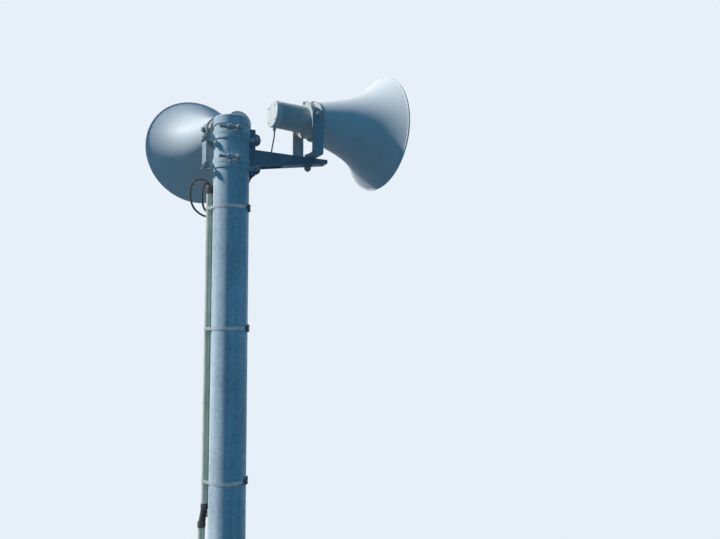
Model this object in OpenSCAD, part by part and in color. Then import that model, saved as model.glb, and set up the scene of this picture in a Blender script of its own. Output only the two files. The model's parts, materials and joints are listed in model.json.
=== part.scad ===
// Civil defence siren tower: a stepped steel pole with two horn loudspeakers on bracket arms.
// Origin at the centre of the base plate's underside, +Z up, the right arm along +X.

/* [Pole] */
// Height of the pole cap above the ground
pole_h = 12600; // [12600:100:14600]
// Outside diameter of the top section
upper_od = 165.2; // [160:0.1:170]
// Wall of the top section
upper_wall = 5; // [4:0.1:7]
// Outside diameter of the middle section
middle_od = 190.7; // [180:0.1:200]
// Wall of the middle section
middle_wall = 6; // [4.5:0.1:8]
// Outside diameter of the bottom section
lower_od = 216.3; // [205:0.1:230]
// Wall of the bottom section
lower_wall = 8.2; // [6:0.1:10]
// Height at which the bottom section starts to narrow
lower_top = 5400; // [5350:10:5450]
// Depth below the cap at which the middle section starts to narrow
middle_drop = 2100; // [2070:10:2130]
// Length of each conical shoulder
shoulder_len = 80; // [60:5:100]

/* [Base] */
// Side of the square base plate
base_side = 460; // [440:5:520]
// Thickness of the base plate
base_t = 25; // [20:1:36]
// Distance between anchor bolt holes along a side
anchor_pitch = 350; // [340:5:360]
// Diameter of an anchor bolt hole
anchor_hole_d = 33; // [26:1:36]
// Height of a base rib
rib_h = 200; // [150:10:260]
// Distance that a rib stands out from the pole
rib_w = 100; // [80:5:105]
// Thickness of a rib
rib_t = 12; // [9:1:16]

/* [Pole cap] */
// Depth of the cap's skirt
cap_h = 42; // [36:1:50]
// Wall of the cap
cap_wall = 3.2; // [2.5:0.1:4]
// Radius of the cap's upper edge
cap_round = 8; // [5:1:12]

/* [Arms] */
// Direction of the left arm, seen from above, counted from the right arm
left_arm_angle = 80; // [75:1:100]
// Distance from the pole's axis to the yoke's bolt
arm_reach = 390; // [380:5:430]
// Depth from the cap down to the arm's flat top
arm_drop = 141; // [135:1:145]
// Width of an arm
arm_w = 60; // [54:1:64]
// Depth of an arm at its root
arm_root_h = 84; // [76:1:90]
// Depth of an arm at its tip
arm_tip_h = 19; // [17:1:24]
// Sheet thickness of arms and arm feet
arm_t = 4.5; // [4:0.1:6]
// Distance that an arm runs past the yoke's bolt
arm_past = 97; // [90:1:104]
// Distance from the pole's axis at which an arm's closed underside starts
arm_floor_x = 250; // [230:5:290]
// Distance from the yoke's bolt to the hole in an arm's tip
tip_hole_past = 78; // [70:1:80]
// Diameter of the hole in an arm's tip
tip_hole_d = 17; // [13:1:18]
// Width of an arm's foot, the channel that sits astride the pole
foot_w = 75; // [72:1:78]
// Height of an arm's foot
foot_h = 223; // [220:1:226]
// Depth from the cap down to the foot's top edge
foot_drop = 46; // [44:1:50]
// Height of an arm foot's ears, which the bands bolt to
ear_h = 58; // [50:1:60]
// Corner radius of the ears
ear_round = 22; // [4:1:24]

/* [Arm bands] */
// Height of one band strap
strap_h = 22; // [18:1:23]
// Thickness of a band strap
strap_t = 4; // [3:0.1:5]
// Depth from the cap to the middle of the uppermost strap
strap_drop = 77; // [74:1:82]
// Vertical distance from the left arm's strap down to the right arm's
strap_pitch = 24; // [24:0.5:27]
// Vertical distance between an arm's upper and lower strap
strap_span = 138; // [130:1:142]
// Radial length of a band's turned-out lug
lug_len = 52; // [46:1:56]
// Size of the cut across a turned-out lug's corners
lug_cut = 6; // [3:0.5:8]
// Gap between the two lugs opposite the arm
lug_gap = 14; // [10:1:18]

/* [Yokes] */
// Width of the yoke strap
yoke_w = 60; // [56:1:66]
// Thickness of the yoke strap
yoke_t = 6; // [5:0.5:8]
// Clear width between the yoke's legs
yoke_clear = 214; // [214:1:230]
// Height that a leg stands above the tilt axis
yoke_above = 30; // [26:1:34]
// Bend radius of the yoke's corners, outside
yoke_bend = 14; // [10:1:18]
// Diameter of the bolt that a yoke turns on
pan_bolt_d = 20; // [16:1:22]
// Diameter of the bolts that a horn tilts on
tilt_bolt_d = 16; // [12:1:18]
// Angle to which the right yoke is turned from its arm
right_yaw = 4; // [-10:1:10]
// Angle to which the left yoke is turned from its arm
left_yaw = 17; // [5:1:20]

/* [Horns] */
// Height of the horn's axis above the pole cap
axis_rise = 58; // [54:1:62]
// Diameter across the horn's mouth, over the rolled rim
mouth_d = 612; // [590:1:620]
// Distance from the tilt axis to the mouth
mouth_x = 424; // [410:1:440]
// Radius of the horn's outside where the bell starts
bell_start_r = 97.6; // [95:0.1:99]
// Widening of the bell per millimetre behind its flare
bell_taper = 0.28; // [0.2:0.01:0.34]
// Sharpness of the flare towards the mouth
bell_power = 4.05; // [3:0.05:5]
// Wall of the bell
bell_wall = 2.5; // [2:0.1:4]
// Radius of the bead rolled on the bell's rim
rim_r = 5; // [4:0.5:7]
// Distance from the tilt axis back to the driver's end
driver_back = 197; // [190:1:200]
// Radius of the driver housing at its rear
driver_rear_r = 65; // [62:0.5:66]
// Radius of the driver housing at its front
driver_front_r = 68; // [66:0.5:70]
// Radius of the flanges between driver and throat
driver_flange_r = 91; // [89:0.5:93]
// Radius of the throat's ring
neck_r = 78; // [76:0.5:80]
// Wall of the driver housing
driver_wall = 4; // [3:0.1:6]
// Length of the driver's rear cap
rear_cap_len = 28; // [24:1:32]
// Radius of the reflector inside the bell
reflector_r = 62; // [58:1:66]
// Distance from the tilt axis to the reflector's nose
reflector_x = 236; // [225:1:245]

/* [Conduit] */
// Direction of the conduit on the pole, counted from the right arm
conduit_angle = 150; // [145:1:155]
// Outside diameter of the conduit
conduit_od = 31.8; // [30:0.1:34]
// Wall of the conduit
conduit_wall = 1.6; // [1.2:0.1:2.5]
// Gap between conduit and pole
conduit_gap = 2.8; // [2.6:0.1:4]
// Depth from the cap to the conduit's upper end
conduit_drop = 346; // [344:1:348]
// Depth from the cap to the first flexible coupling
coupling_drop = 1782; // [1770:1:1790]
// Length of a flexible coupling
coupling_len = 78; // [70:1:90]
// Height of the conduit's lower end above the ground
conduit_end_z = 300; // [260:10:400]
// Height of a conduit band
conduit_band_h = 14; // [12:1:20]
// Thickness of a conduit band
conduit_band_t = 0.8; // [0.6:0.1:1.2]

/* [Step bolts] */
// Depth from the cap to the uppermost step bolt
step_drop = 1906; // [1890:2:1920]
// Vertical distance between step bolts, which alternate from side to side
step_pitch = 450; // [440:5:450]
// Number of step bolts
step_count = 20; // [16:1:20]
// Diameter of a step bolt
step_d = 19; // [16:1:22]
// Length of a step bolt outside the pole
step_len = 245; // [220:5:260]

/* [Cables] */
// Diameter of the cable between arm and conduit
cable_d = 10; // [8:0.5:10]
// Diameter of the lead at a driver
lead_d = 7; // [6:0.5:8]

/* [Hidden] */
$fn = 96;

// Clearance between pieces that seat on each other
seat = 0.3;
eps = 0.01;

// Levels along the pole
lower_shoulder_top = lower_top + shoulder_len;
middle_top = pole_h - middle_drop;
middle_shoulder_top = middle_top + shoulder_len;
pole_tube_top = pole_h - cap_round - seat;

// Radii of the pole
upper_r = upper_od / 2;
middle_r = middle_od / 2;
lower_r = lower_od / 2;
strap_out_r = upper_r + strap_t;

// Arm levels, all counted from the ground
arm_top_z = pole_h - arm_drop;
axis_z = pole_h + axis_rise;
foot_top_z = pole_h - foot_drop;

// Pole cap's outside
cap_out_r = upper_r + seat + cap_wall;

// Arm foot: web position along the arm and the angle of its ears
foot_web_x = upper_r + strap_t + 13;
ear_angle = 27;
ear_t = 5;
ear_in_r = strap_out_r + 1.5;
lug_out_r = upper_r + lug_len;

// Slot in an arm foot's web that its cable passes through: its width and its depths below the cap
cable_slot = [15, 170, 228];

// Arm: its ends and its depth at a distance from the pole's axis
arm_root_x = foot_web_x + arm_t;
arm_end_x = arm_reach + arm_past;
arm_slope = (arm_root_h - arm_tip_h) / (arm_end_x - arm_root_x);
function arm_depth(x) = arm_root_h - arm_slope * (x - arm_root_x);
arm_outline = [[arm_root_x, 0], [arm_end_x, 0], [arm_end_x, -arm_tip_h], [arm_root_x, -arm_root_h]];
lead_hole_x = 198;

// Yoke
yoke_base_z = arm_top_z + seat;
yoke_leg_y = yoke_clear / 2;
pan_hole_d = pan_bolt_d + 1;
tilt_hole_d = tilt_bolt_d + 1;
pan_nut_r = pan_bolt_d * 0.87;
pan_nut_h = 14;
pan_nut_top = arm_top_z - arm_depth(arm_reach - pan_nut_r) - 3;
pan_head_h = 12;
tilt_head_h = 10;

// Horn stations along its axis, counted from the tilt axis
driver_flange_x = [-20, -4];
throat_flange_x = [-4, 6];
bell_flange_x = [29, 45];
driver_lug_r = driver_flange_r + 6;
bell_flange_r = bell_start_r + 4;
bell_lug_r = bell_flange_r + 6;
flange_lug_w = 22;
boss_r = 15;
boss_root_r = neck_r - 8;
throat_cavity_x = 14;
throat_wall = 6;
throat_hub_t = 8;
mouth_r = mouth_d / 2;
bell_start_x = bell_flange_x[1];
bell_len = mouth_x - rim_r - bell_start_x;
flare_gain = mouth_r - rim_r - bell_start_r - bell_taper * bell_len;
function bell_r(x) = bell_start_r + bell_taper * (x - bell_start_x)
    + flare_gain * pow((x - bell_start_x) / bell_len, bell_power);
tone_tube_r = 24;
tone_tube_x = [30, 166];
tone_bore_r = [18, 21];
reflector_wall = 2.5;
reflector_skirt_x = 96;
vane_l = 50;
vane_t = 3;
rear_cap_r = driver_rear_r + 1.2;
rear_cap_round = 6;
gland_x = -driver_back + rear_cap_len / 2;
gland_d = 16;
gland_low = rear_cap_r + 20;
gland_tip_h = 8;

// Conduit distances from the pole's axis, one for each section
conduit_r = conduit_od / 2;
conduit_upper_x = upper_r + conduit_gap + conduit_r;
conduit_middle_x = middle_r + conduit_gap + conduit_r;
conduit_lower_x = lower_r + conduit_gap + conduit_r;
coupling_top_z = [pole_h - coupling_drop, lower_top + 330];
fitting_t = 2.2;
conduit_bore_r = conduit_r + seat / 2;
sleeve_r = conduit_r + fitting_t;
sleeve_h = 26;
hose_r = conduit_r - 1;
entry_grip = 14;
entry_h = 26;
spout_side = 8;
spout_rise = 13;
spout_d = 13;
spout_out = 26;
bushing_r = 12;
bushing_h = 8;

// Depths below the cap of the bands on the top section, and heights of the rest
upper_band_drops = [431, 991, 1669];
middle_band_zs = [10350, 9500, 8650, 7800, 6950, 6100];
lower_band_zs = [5200, 4300, 3400, 2500, 1600, 700];
buckle_angle = -33;

// Direction of an arm and the yaw of its yoke
arm_angles = [0, left_arm_angle];
yaws = [right_yaw, left_yaw];

// Cable routes as [distance from the pole's axis, direction from the arm's own, depth below the cap]:
// out of the arm, down its foot and round the back of the pole towards the conduit
right_cable_start = [
    [198, 0, -160], [198, 0, -166], [191, 0, -173], [176, 0, -176], [158, 0, -178], [138, 0, -180],
    [121, 0, -184], [110, 0, -191], [101, 0, -202], [95, 0, -216], [93, 0, -236],
    [93, 0, -262], [92, 3, -276], [91, 10, -288], [90, 20, -298], [89, 34, -310], [89, 48, -318],
    [89, 62, -323], [89, 76, -326], [89, 90, -328], [89, 104, -329]
];
left_cable_start = [
    [198, 0, -160], [198, 0, -166], [191, 0, -173], [176, 0, -176], [158, 0, -178], [138, 0, -180],
    [121, 0, -184], [110, 0, -191], [101, 0, -202], [95, 0, -216], [93, 0, -236],
    [93, 0, -262], [92, 3, -276], [91, 10, -286], [91, 20, -295], [92, 32, -303]
];
// Their slack loops beside the conduit, as [out through the conduit, sideways from it, depth]
right_cable_loop = [
    [81, -52, -328], [98, -48, -323], [112, -46, -313], [123, -45, -301], [131, -44, -295],
    [138, -44, -297], [142, -44, -305],
    [145, -44, -318], [149, -44, -343], [150, -44, -371], [148, -44, -396], [143, -44, -414],
    [137, -44, -425], [129, -44, -431], [120, -44, -430], [113, -44, -422], [110, -44, -407],
    [109, -44, -385], [109, -43, -361], [109, -39, -343], [109, -34, -333], [109, -26.5, -333]
];
left_cable_loop = [
    [86, -54, -308], [101, -57, -309], [116, -59, -300], [132, -61, -286], [148, -63, -275], [168, -64, -270],
    [189, -65, -273], [204, -66, -286], [213, -66, -307], [216, -66, -330], [215, -66, -355],
    [212, -65, -376], [205, -64, -396], [192, -63, -418], [174, -62, -435], [156, -61, -447],
    [138, -60, -454], [121, -59, -454], [106, -57, -444], [97, -54, -426], [94, -50, -404],
    [93, -47, -380], [93, -44, -357], [93, -39, -342], [93, -34, -333], [93, -26.5, -333]
];
function polar(p, a) = [p[0] * cos(a + p[1]), p[0] * sin(a + p[1]), p[2] + pole_h];
function aside(p, a) = [p[0] * cos(a) - p[1] * sin(a), p[0] * sin(a) + p[1] * cos(a), p[2] + pole_h];
function cable_route(start, loop, a) = concat(
    [for (p = start) polar(p, a)], [for (p = loop) aside(p, conduit_angle)]);

// Leads from the arm to the gland behind the driver, in two lengths that meet half-way. Their levels
// are the lower end, the end of the straight rise, the meeting point, the start of the straight way
// into the gland, and the upper end.
lead_z = [arm_top_z - 19, arm_top_z + 3, pole_h - 100, axis_z - gland_low - 12, axis_z - gland_low - seat];
function smooth(t) = t * t * (3 - 2 * t);
function gland_place(i) = [arm_reach + gland_x * cos(yaws[i]), gland_x * sin(yaws[i])];
function lead_point(i, z) = let (t = smooth(max(0, min(1, (z - lead_z[1]) / (lead_z[3] - lead_z[1])))))
    [lead_hole_x + t * (gland_place(i)[0] - lead_hole_x), t * gland_place(i)[1], z];
function lead_route(i, z0, z1, n) = [for (k = [0 : n]) lead_point(i, z0 + (z1 - z0) * k / n)];

// A tube swept along a route, closed at both ends
function unit(v) = v / norm(v);
function route_dir(p, i) = unit(p[min(i + 1, len(p) - 1)] - p[max(i - 1, 0)]);
function side_dir(d) = abs(d[2]) > 0.9 ? unit(cross(d, [0, 1, 0])) : unit(cross(d, [0, 0, 1]));
function turned(prev, d) = unit(prev - d * (prev * d));
function side_dirs(p, i = 0, acc = []) =
    i == len(p) ? acc
    : side_dirs(p, i + 1, concat(acc, [i == 0
        ? side_dir(route_dir(p, 0))
        : turned(acc[i - 1], route_dir(p, i))]));
module swept_tube(route, d, sides) {
    s = side_dirs(route);
    n = len(route);
    rings = [for (i = [0 : n - 1], k = [0 : sides - 1])
        let (t = route_dir(route, i), w = cross(t, s[i]), a = 360 * k / sides)
        route[i] + d / 2 * (cos(a) * s[i] + sin(a) * w)];
    walls = [for (i = [0 : n - 2], k = [0 : sides - 1])
        let (k2 = (k + 1) % sides)
        [i * sides + k, (i + 1) * sides + k, (i + 1) * sides + k2, i * sides + k2]];
    first = [[for (k = [0 : sides - 1]) k]];
    last = [[for (k = [0 : sides - 1]) n * sides - 1 - k]];
    polyhedron(rings, concat(walls, first, last), convexity = 10);
}

// Frames: an arm's, its yoke's and its horn's
module arm_frame(i) rotate([0, 0, arm_angles[i]]) children();
module yoke_frame(i) arm_frame(i) translate([arm_reach, 0, 0]) rotate([0, 0, yaws[i]]) children();
module horn_frame(i) yoke_frame(i) translate([0, 0, axis_z]) children();
module conduit_frame() rotate([0, 0, conduit_angle]) children();

// Turns a profile drawn as [distance along the axis, radius] about the horn's axis
module turn_x(profile) rotate([0, 90, 0]) rotate_extrude() polygon([for (p = profile) [p[1], p[0]]]);

// Base
module base_plate() color("silver") difference() {
    translate([-base_side / 2, -base_side / 2, 0]) cube([base_side, base_side, base_t]);
    for (x = [-1, 1], y = [-1, 1])
        translate([x * anchor_pitch / 2, y * anchor_pitch / 2, -1])
            cylinder(d = anchor_hole_d, h = base_t + 2);
}

module base_rib() {
    toe = 20;
    outline = [[0, 0], [lower_r + rib_w, 0], [lower_r + rib_w, toe], [lower_r + toe, rib_h], [0, rib_h]];
    translate([0, rib_t / 2, base_t]) rotate([90, 0, 0]) linear_extrude(rib_t) polygon(outline);
}

module base_ribs() color("silver") difference() {
    for (k = [0 : 7]) rotate([0, 0, 22.5 + 45 * k]) base_rib();
    translate([0, 0, -1]) cylinder(r = lower_r + seat / 3, h = base_t + rib_h + 2);
}

// Pole: a tube that narrows at its upper end to the next section
module pole_section(od, wall, z0, z1, next_od, next_wall) {
    z2 = z1 + shoulder_len;
    rotate_extrude() polygon([
        [od / 2 - wall, z0], [od / 2, z0], [od / 2, z1], [next_od / 2, z2],
        [next_od / 2 - next_wall, z2], [od / 2 - wall, z1]
    ]);
}

module pole_lower() color("silver")
    pole_section(lower_od, lower_wall, base_t, lower_top, middle_od, middle_wall);

module pole_middle() color("silver")
    pole_section(middle_od, middle_wall, lower_shoulder_top, middle_top, upper_od, upper_wall);

module pole_upper() color("silver") rotate_extrude()
    translate([upper_r - upper_wall, middle_shoulder_top])
        square([upper_wall, pole_tube_top - middle_shoulder_top]);

module pole_cap() color("gainsboro") rotate_extrude() {
    translate([0, pole_h - cap_wall]) square([cap_out_r - cap_round, cap_wall]);
    translate([cap_out_r - cap_round, pole_h - cap_round]) intersection() {
        difference() {
            circle(r = cap_round);
            circle(r = cap_round - cap_wall);
        }
        square(cap_round);
    }
    translate([cap_out_r - cap_wall, pole_h - cap_h]) square([cap_wall, cap_h - cap_round]);
}

// Conduit on the pole's side
module conduit_tube(x, z0, z1) conduit_frame() translate([x, 0, z0]) difference() {
    cylinder(r = conduit_r, h = z1 - z0);
    translate([0, 0, -1]) cylinder(r = conduit_r - conduit_wall, h = z1 - z0 + 2);
}

module conduit_upper() color("beige")
    conduit_tube(conduit_upper_x, coupling_top_z[0], pole_h - conduit_drop);

module conduit_middle() color("beige")
    conduit_tube(conduit_middle_x, coupling_top_z[1], coupling_top_z[0] - coupling_len);

module conduit_lower() color("beige")
    conduit_tube(conduit_lower_x, conduit_end_z, coupling_top_z[1] - coupling_len);

// A short flexible length between two cup sleeves, which leads the conduit out to the next section
module conduit_coupling(x_top, x_low, z_top) {
    lean = atan((x_low - x_top) / coupling_len);
    z_low = z_top - coupling_len;
    translate([x_low, 0, z_low]) intersection() {
        rotate([0, -lean, 0]) translate([0, 0, -sleeve_h])
            cylinder(r = hose_r, h = coupling_len + 3 * sleeve_h);
        translate([-2 * conduit_od, -conduit_od, eps])
            cube([4 * conduit_od, 2 * conduit_od, coupling_len - 2 * eps]);
    }
    for (end = [[x_low, z_low, 0], [x_top, z_top, 180]])
        translate([end[0], 0, end[1]]) rotate([end[2], 0, 0]) rotate_extrude() {
            square([sleeve_r, sleeve_h / 2]);
            translate([conduit_bore_r, -sleeve_h / 2])
                square([sleeve_r - conduit_bore_r, sleeve_h / 2 + eps]);
        }
}

module conduit_couplings() color("dimgray") conduit_frame() {
    conduit_coupling(conduit_upper_x, conduit_middle_x, coupling_top_z[0]);
    conduit_coupling(conduit_middle_x, conduit_lower_x, coupling_top_z[1]);
}

module conduit_entry_cap() color("black") conduit_frame()
    translate([conduit_upper_x, 0, pole_h - conduit_drop]) {
        rotate_extrude() {
            translate([conduit_bore_r, -entry_grip]) square([sleeve_r - conduit_bore_r, entry_grip + eps]);
            square([sleeve_r, entry_h - 4]);
            translate([0, entry_h - 4 - eps]) square([sleeve_r - 4, 4 + eps]);
            translate([sleeve_r - 4, entry_h - 4]) intersection() {
                circle(r = 4);
                square(4);
            }
        }
        for (s = [-1, 1]) translate([s * spout_side, 0, spout_rise]) rotate([90, 0, 0])
            cylinder(d = spout_d, h = spout_out);
    }

module conduit_end_bushing() color("black") conduit_frame()
    translate([conduit_lower_x, 0, conduit_end_z]) rotate_extrude() {
        translate([bushing_r, -bushing_h]) square([sleeve_r - bushing_r, bushing_h]);
        translate([conduit_bore_r, -eps]) square([sleeve_r - conduit_bore_r, entry_grip]);
    }

// A strap drawn round pole and conduit, with its buckle. Its outline follows both in short chords
// that clear the round surfaces, and runs straight between them.
function arc_points(x, r, a0, a1, n) = [for (k = [0 : n])
    let (a = a0 + (a1 - a0) * k / n) [x + r * cos(a), r * sin(a)]];
function belt(pole_r, x, t) =
    let (chord = 3.75, r1 = (pole_r + seat / 3) / cos(chord) + t,
        r2 = (conduit_r + seat / 3) / cos(chord) + t, turn = acos((r1 - r2) / x))
    concat(arc_points(0, r1, turn, 360 - turn, ceil((180 - turn) / chord)),
        arc_points(x, r2, -turn, turn, ceil(turn / chord / 2)));
module conduit_band(pole_r, x) {
    buckle = [8, 22, 34];
    translate([0, 0, -conduit_band_h / 2]) linear_extrude(conduit_band_h) difference() {
        polygon(belt(pole_r, x, conduit_band_t));
        polygon(belt(pole_r, x, 0));
    }
    rotate([0, 0, buckle_angle - conduit_angle])
        translate([pole_r + seat, -buckle[1] / 2, -buckle[2] / 2]) cube(buckle);
}

module conduit_bands() color("lightgray") conduit_frame() {
    for (d = upper_band_drops) translate([0, 0, pole_h - d]) conduit_band(upper_r, conduit_upper_x);
    for (z = middle_band_zs) translate([0, 0, z]) conduit_band(middle_r, conduit_middle_x);
    for (z = lower_band_zs) translate([0, 0, z]) conduit_band(lower_r, conduit_lower_x);
}

// Step bolts, on alternate sides along Y
function pole_r_at(z) = z > middle_top ? upper_r : z > lower_top ? middle_r : lower_r;
module step_bolt(root_r) {
    nut_h = 12;
    head_h = 7;
    rotate([-90, 0, 0]) {
        translate([0, 0, root_r + seat]) cylinder(d = step_d, h = step_len - seat);
        translate([0, 0, root_r + nut_h]) cylinder(d = step_d * 1.9, h = nut_h, $fn = 6);
        translate([0, 0, root_r + step_len]) cylinder(d = step_d * 1.6, h = head_h);
    }
}
module step_bolts() color("silver") for (k = [0 : step_count - 1])
    let (z = pole_h - step_drop - k * step_pitch)
        translate([0, 0, z]) rotate([0, 0, 180 * (k % 2)]) step_bolt(pole_r_at(z));

// A tab in the XZ plane with its two outer corners rounded, from y = -t to y = 0
module tab(x0, x1, z0, z1, r, t) rotate([90, 0, 0]) linear_extrude(t) {
    translate([x0, z0]) square([x1 - x0 - r, z1 - z0]);
    translate([x0, z0 + r]) square([x1 - x0, z1 - z0 - 2 * r]);
    for (z = [z0 + r, z1 - r]) translate([x1 - r, z]) circle(r = r);
}

// Arm foot: a channel astride the pole, with ears that the bands bolt to
module arm_foot(i) difference() {
    union() {
        translate([foot_web_x, -foot_w / 2, foot_top_z - foot_h]) cube([arm_t, foot_w, foot_h]);
        for (side = [0, 1]) mirror([0, side, 0]) {
            translate([0, foot_w / 2 - arm_t, foot_top_z - foot_h]) cube([foot_web_x + eps, arm_t, foot_h]);
            for (low = [0, 1]) rotate([0, 0, ear_angle])
                let (z = band_z(i, low))
                    tab(ear_in_r, lug_out_r, z - ear_h / 2, z + ear_h / 2, ear_round, ear_t);
        }
    }
    translate([-2 * upper_r, -upper_r, foot_top_z - foot_h - 1]) cube([2 * upper_r, 2 * upper_r, foot_h + 2]);
    translate([0, 0, foot_top_z - foot_h - 1]) cylinder(r = upper_r + seat, h = foot_h + 2);
    translate([0, 0, pole_h - cap_h - seat]) cylinder(r = cap_out_r + seat, h = cap_h);
    for (low = [0, 1]) translate([0, 0, band_z(1 - i, low) - strap_h / 2 - 1])
        cylinder(r = strap_out_r + seat, h = strap_h + 2);
    translate([foot_web_x - 1, -cable_slot[0] / 2, pole_h - cable_slot[2]])
        cube([arm_t + 2, cable_slot[0], cable_slot[2] - cable_slot[1]]);
}

// Arm: a tapered channel, closed below towards its tip and drilled for the yoke's bolt
module arm_side(points, w) translate([0, w / 2, arm_top_z]) rotate([90, 0, 0])
    linear_extrude(w) polygon(points);
module arm() difference() {
    inner_end_x = arm_end_x - arm_t;
    arm_side(arm_outline, arm_w);
    arm_side([[arm_root_x - 1, -arm_t], [inner_end_x, -arm_t], [inner_end_x, arm_t - arm_depth(inner_end_x)],
        [arm_floor_x, arm_t - arm_depth(arm_floor_x)], [arm_floor_x, -arm_root_h - 1],
        [arm_root_x - 1, -arm_root_h - 1]], arm_w - 2 * arm_t);
    for (hole = [[arm_reach, pan_bolt_d + seat], [lead_hole_x, lead_d + 2 * seat],
        [arm_reach + tip_hole_past, tip_hole_d]])
        translate([hole[0], 0, arm_top_z - arm_root_h - 1]) cylinder(d = hole[1], h = arm_root_h + 2);
}

// One arm's band: two half straps with turned-out lugs, from the arm's ears round to the far side
module half_strap(a0, a1) difference() {
    union() {
        rotate([0, 0, a0]) rotate_extrude(angle = a1 - a0) translate([upper_r + seat / 3, 0])
            square([strap_t, strap_h]);
        for (end = [[a0, 0], [a1, -strap_t]]) rotate([0, 0, end[0]])
            translate([upper_r + 1, end[1], 0]) cube([lug_len - 1, strap_t, strap_h]);
    }
    for (a = [a0, a1], z = [0, strap_h]) rotate([0, 0, a]) translate([lug_out_r, 0, z]) rotate([0, 45, 0])
        cube([lug_cut * sqrt(2), 4 * strap_t, lug_cut * sqrt(2)], center = true);
}
module arm_band(z) translate([0, 0, z - strap_h / 2]) {
    far_half = asin(lug_gap / 2 / upper_r);
    half_strap(ear_angle, 180 - far_half);
    half_strap(180 + far_half, 360 - ear_angle);
}
function band_z(i, low) = pole_h - strap_drop - (1 - i) * strap_pitch - low * strap_span;

// Yoke: one strap bent to a U, drilled for the bolt it turns on and the bolts the horn tilts on
module yoke() difference() {
    leg_h = axis_z - yoke_base_z;
    translate([0, 0, yoke_base_z]) intersection() {
        translate([-yoke_w / 2, 0, 0]) rotate([90, 0, 90]) linear_extrude(yoke_w) difference() {
            u_shape(yoke_leg_y + yoke_t, 0, leg_h + yoke_above, yoke_bend);
            u_shape(yoke_leg_y, yoke_t, leg_h + yoke_above + 1, yoke_bend - yoke_t);
        }
        translate([0, yoke_leg_y + yoke_t + 1, 0]) rotate([90, 0, 0])
            linear_extrude(2 * (yoke_leg_y + yoke_t + 1)) {
                translate([-yoke_w / 2, 0]) square([yoke_w, leg_h + yoke_above - yoke_w / 2]);
                translate([0, leg_h + yoke_above - yoke_w / 2]) circle(r = yoke_w / 2);
            }
    }
    translate([0, 0, yoke_base_z - 1]) cylinder(d = pan_hole_d, h = yoke_t + 2);
    translate([0, yoke_leg_y + yoke_t + 1, axis_z]) rotate([90, 0, 0])
        cylinder(d = tilt_hole_d, h = 2 * (yoke_leg_y + yoke_t + 1));
}
module u_shape(half_w, z0, z1, r) {
    translate([-half_w, z0 + r]) square([2 * half_w, z1 - z0 - r]);
    translate([-half_w + r, z0]) square([2 * (half_w - r), r + eps]);
    for (s = [-1, 1]) translate([s * (half_w - r), z0 + r]) circle(r = r);
}

// The bolt that a yoke turns on, its head above the yoke and its nut below the arm, on a washer
// that is tapered as the arm's underside is
module pan_bolt() {
    tail = 4;
    head_z = yoke_base_z + yoke_t + seat;
    translate([arm_reach, 0, 0]) {
        translate([0, 0, pan_nut_top - pan_nut_h]) cylinder(r = pan_nut_r, h = pan_nut_h, $fn = 6);
        translate([0, 0, pan_nut_top - pan_nut_h - tail])
            cylinder(d = pan_bolt_d, h = head_z - pan_nut_top + pan_nut_h + tail + 1);
        translate([0, 0, head_z]) cylinder(r = pan_nut_r, h = pan_head_h, $fn = 6);
    }
    difference() {
        translate([arm_reach, 0, pan_nut_top - eps]) cylinder(r = pan_nut_r, h = arm_depth(arm_reach));
        translate([0, 0, -seat]) arm_side(arm_outline, 2 * arm_w);
        translate([arm_reach, 0, arm_top_z - arm_t - arm_depth(arm_reach) / 2])
            cylinder(r = pan_nut_r + 1, h = 2 * arm_depth(arm_reach));
    }
}
module pan_bolts() color("gray") for (i = [0, 1]) arm_frame(i) pan_bolt();

// Bell: an exponential flare with a beaded rim
module bell() {
    steps = 24;
    xs = [for (k = [0 : steps]) bell_start_x + bell_len * k / steps];
    outer = [for (x = xs) [x, bell_r(x)]];
    inner = [for (k = [steps : -1 : 0]) [xs[k], bell_r(xs[k]) - bell_wall]];
    turn_x(concat(outer, inner));
    rotate([0, 90, 0]) rotate_extrude() translate([mouth_r - rim_r, mouth_x - rim_r])
        circle(r = rim_r, $fn = 24);
}

// Reflector: a closed nose in front and an open skirt behind, carried on three vanes
module reflector() {
    nose_x = reflector_x - reflector_r;
    in_r = reflector_r - reflector_wall;
    rotate([0, 90, 0]) rotate_extrude() {
        translate([in_r, reflector_skirt_x]) square([reflector_wall, nose_x - reflector_skirt_x]);
        translate([0, nose_x]) intersection() {
            difference() {
                circle(r = reflector_r);
                circle(r = in_r);
            }
            square(reflector_r);
        }
    }
    for (k = [0 : 2]) rotate([120 * k, 0, 0])
        translate([nose_x - vane_l - 10, tone_tube_r + seat, -vane_t / 2])
            cube([vane_l, in_r - tone_tube_r - seat + 1, vane_t]);
}

// Throat: the ring between driver and bell, with its flanges, their screw lugs, the tilt bosses and
// the tube inside
module flange_lugs(x0, x1, r0, r1) for (a = [0 : 120 : 240]) rotate([a, 0, 0])
    translate([x0 + 1.5, -flange_lug_w / 2, r0 - 3]) cube([x1 - x0 - 3, flange_lug_w, r1 - r0 + 3]);

module tilt_bosses(r, y0, y1) for (s = [0, 180]) rotate([s, 0, 0]) rotate([-90, 0, 0])
    translate([0, 0, y0]) cylinder(r = r, h = y1 - y0);

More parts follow.
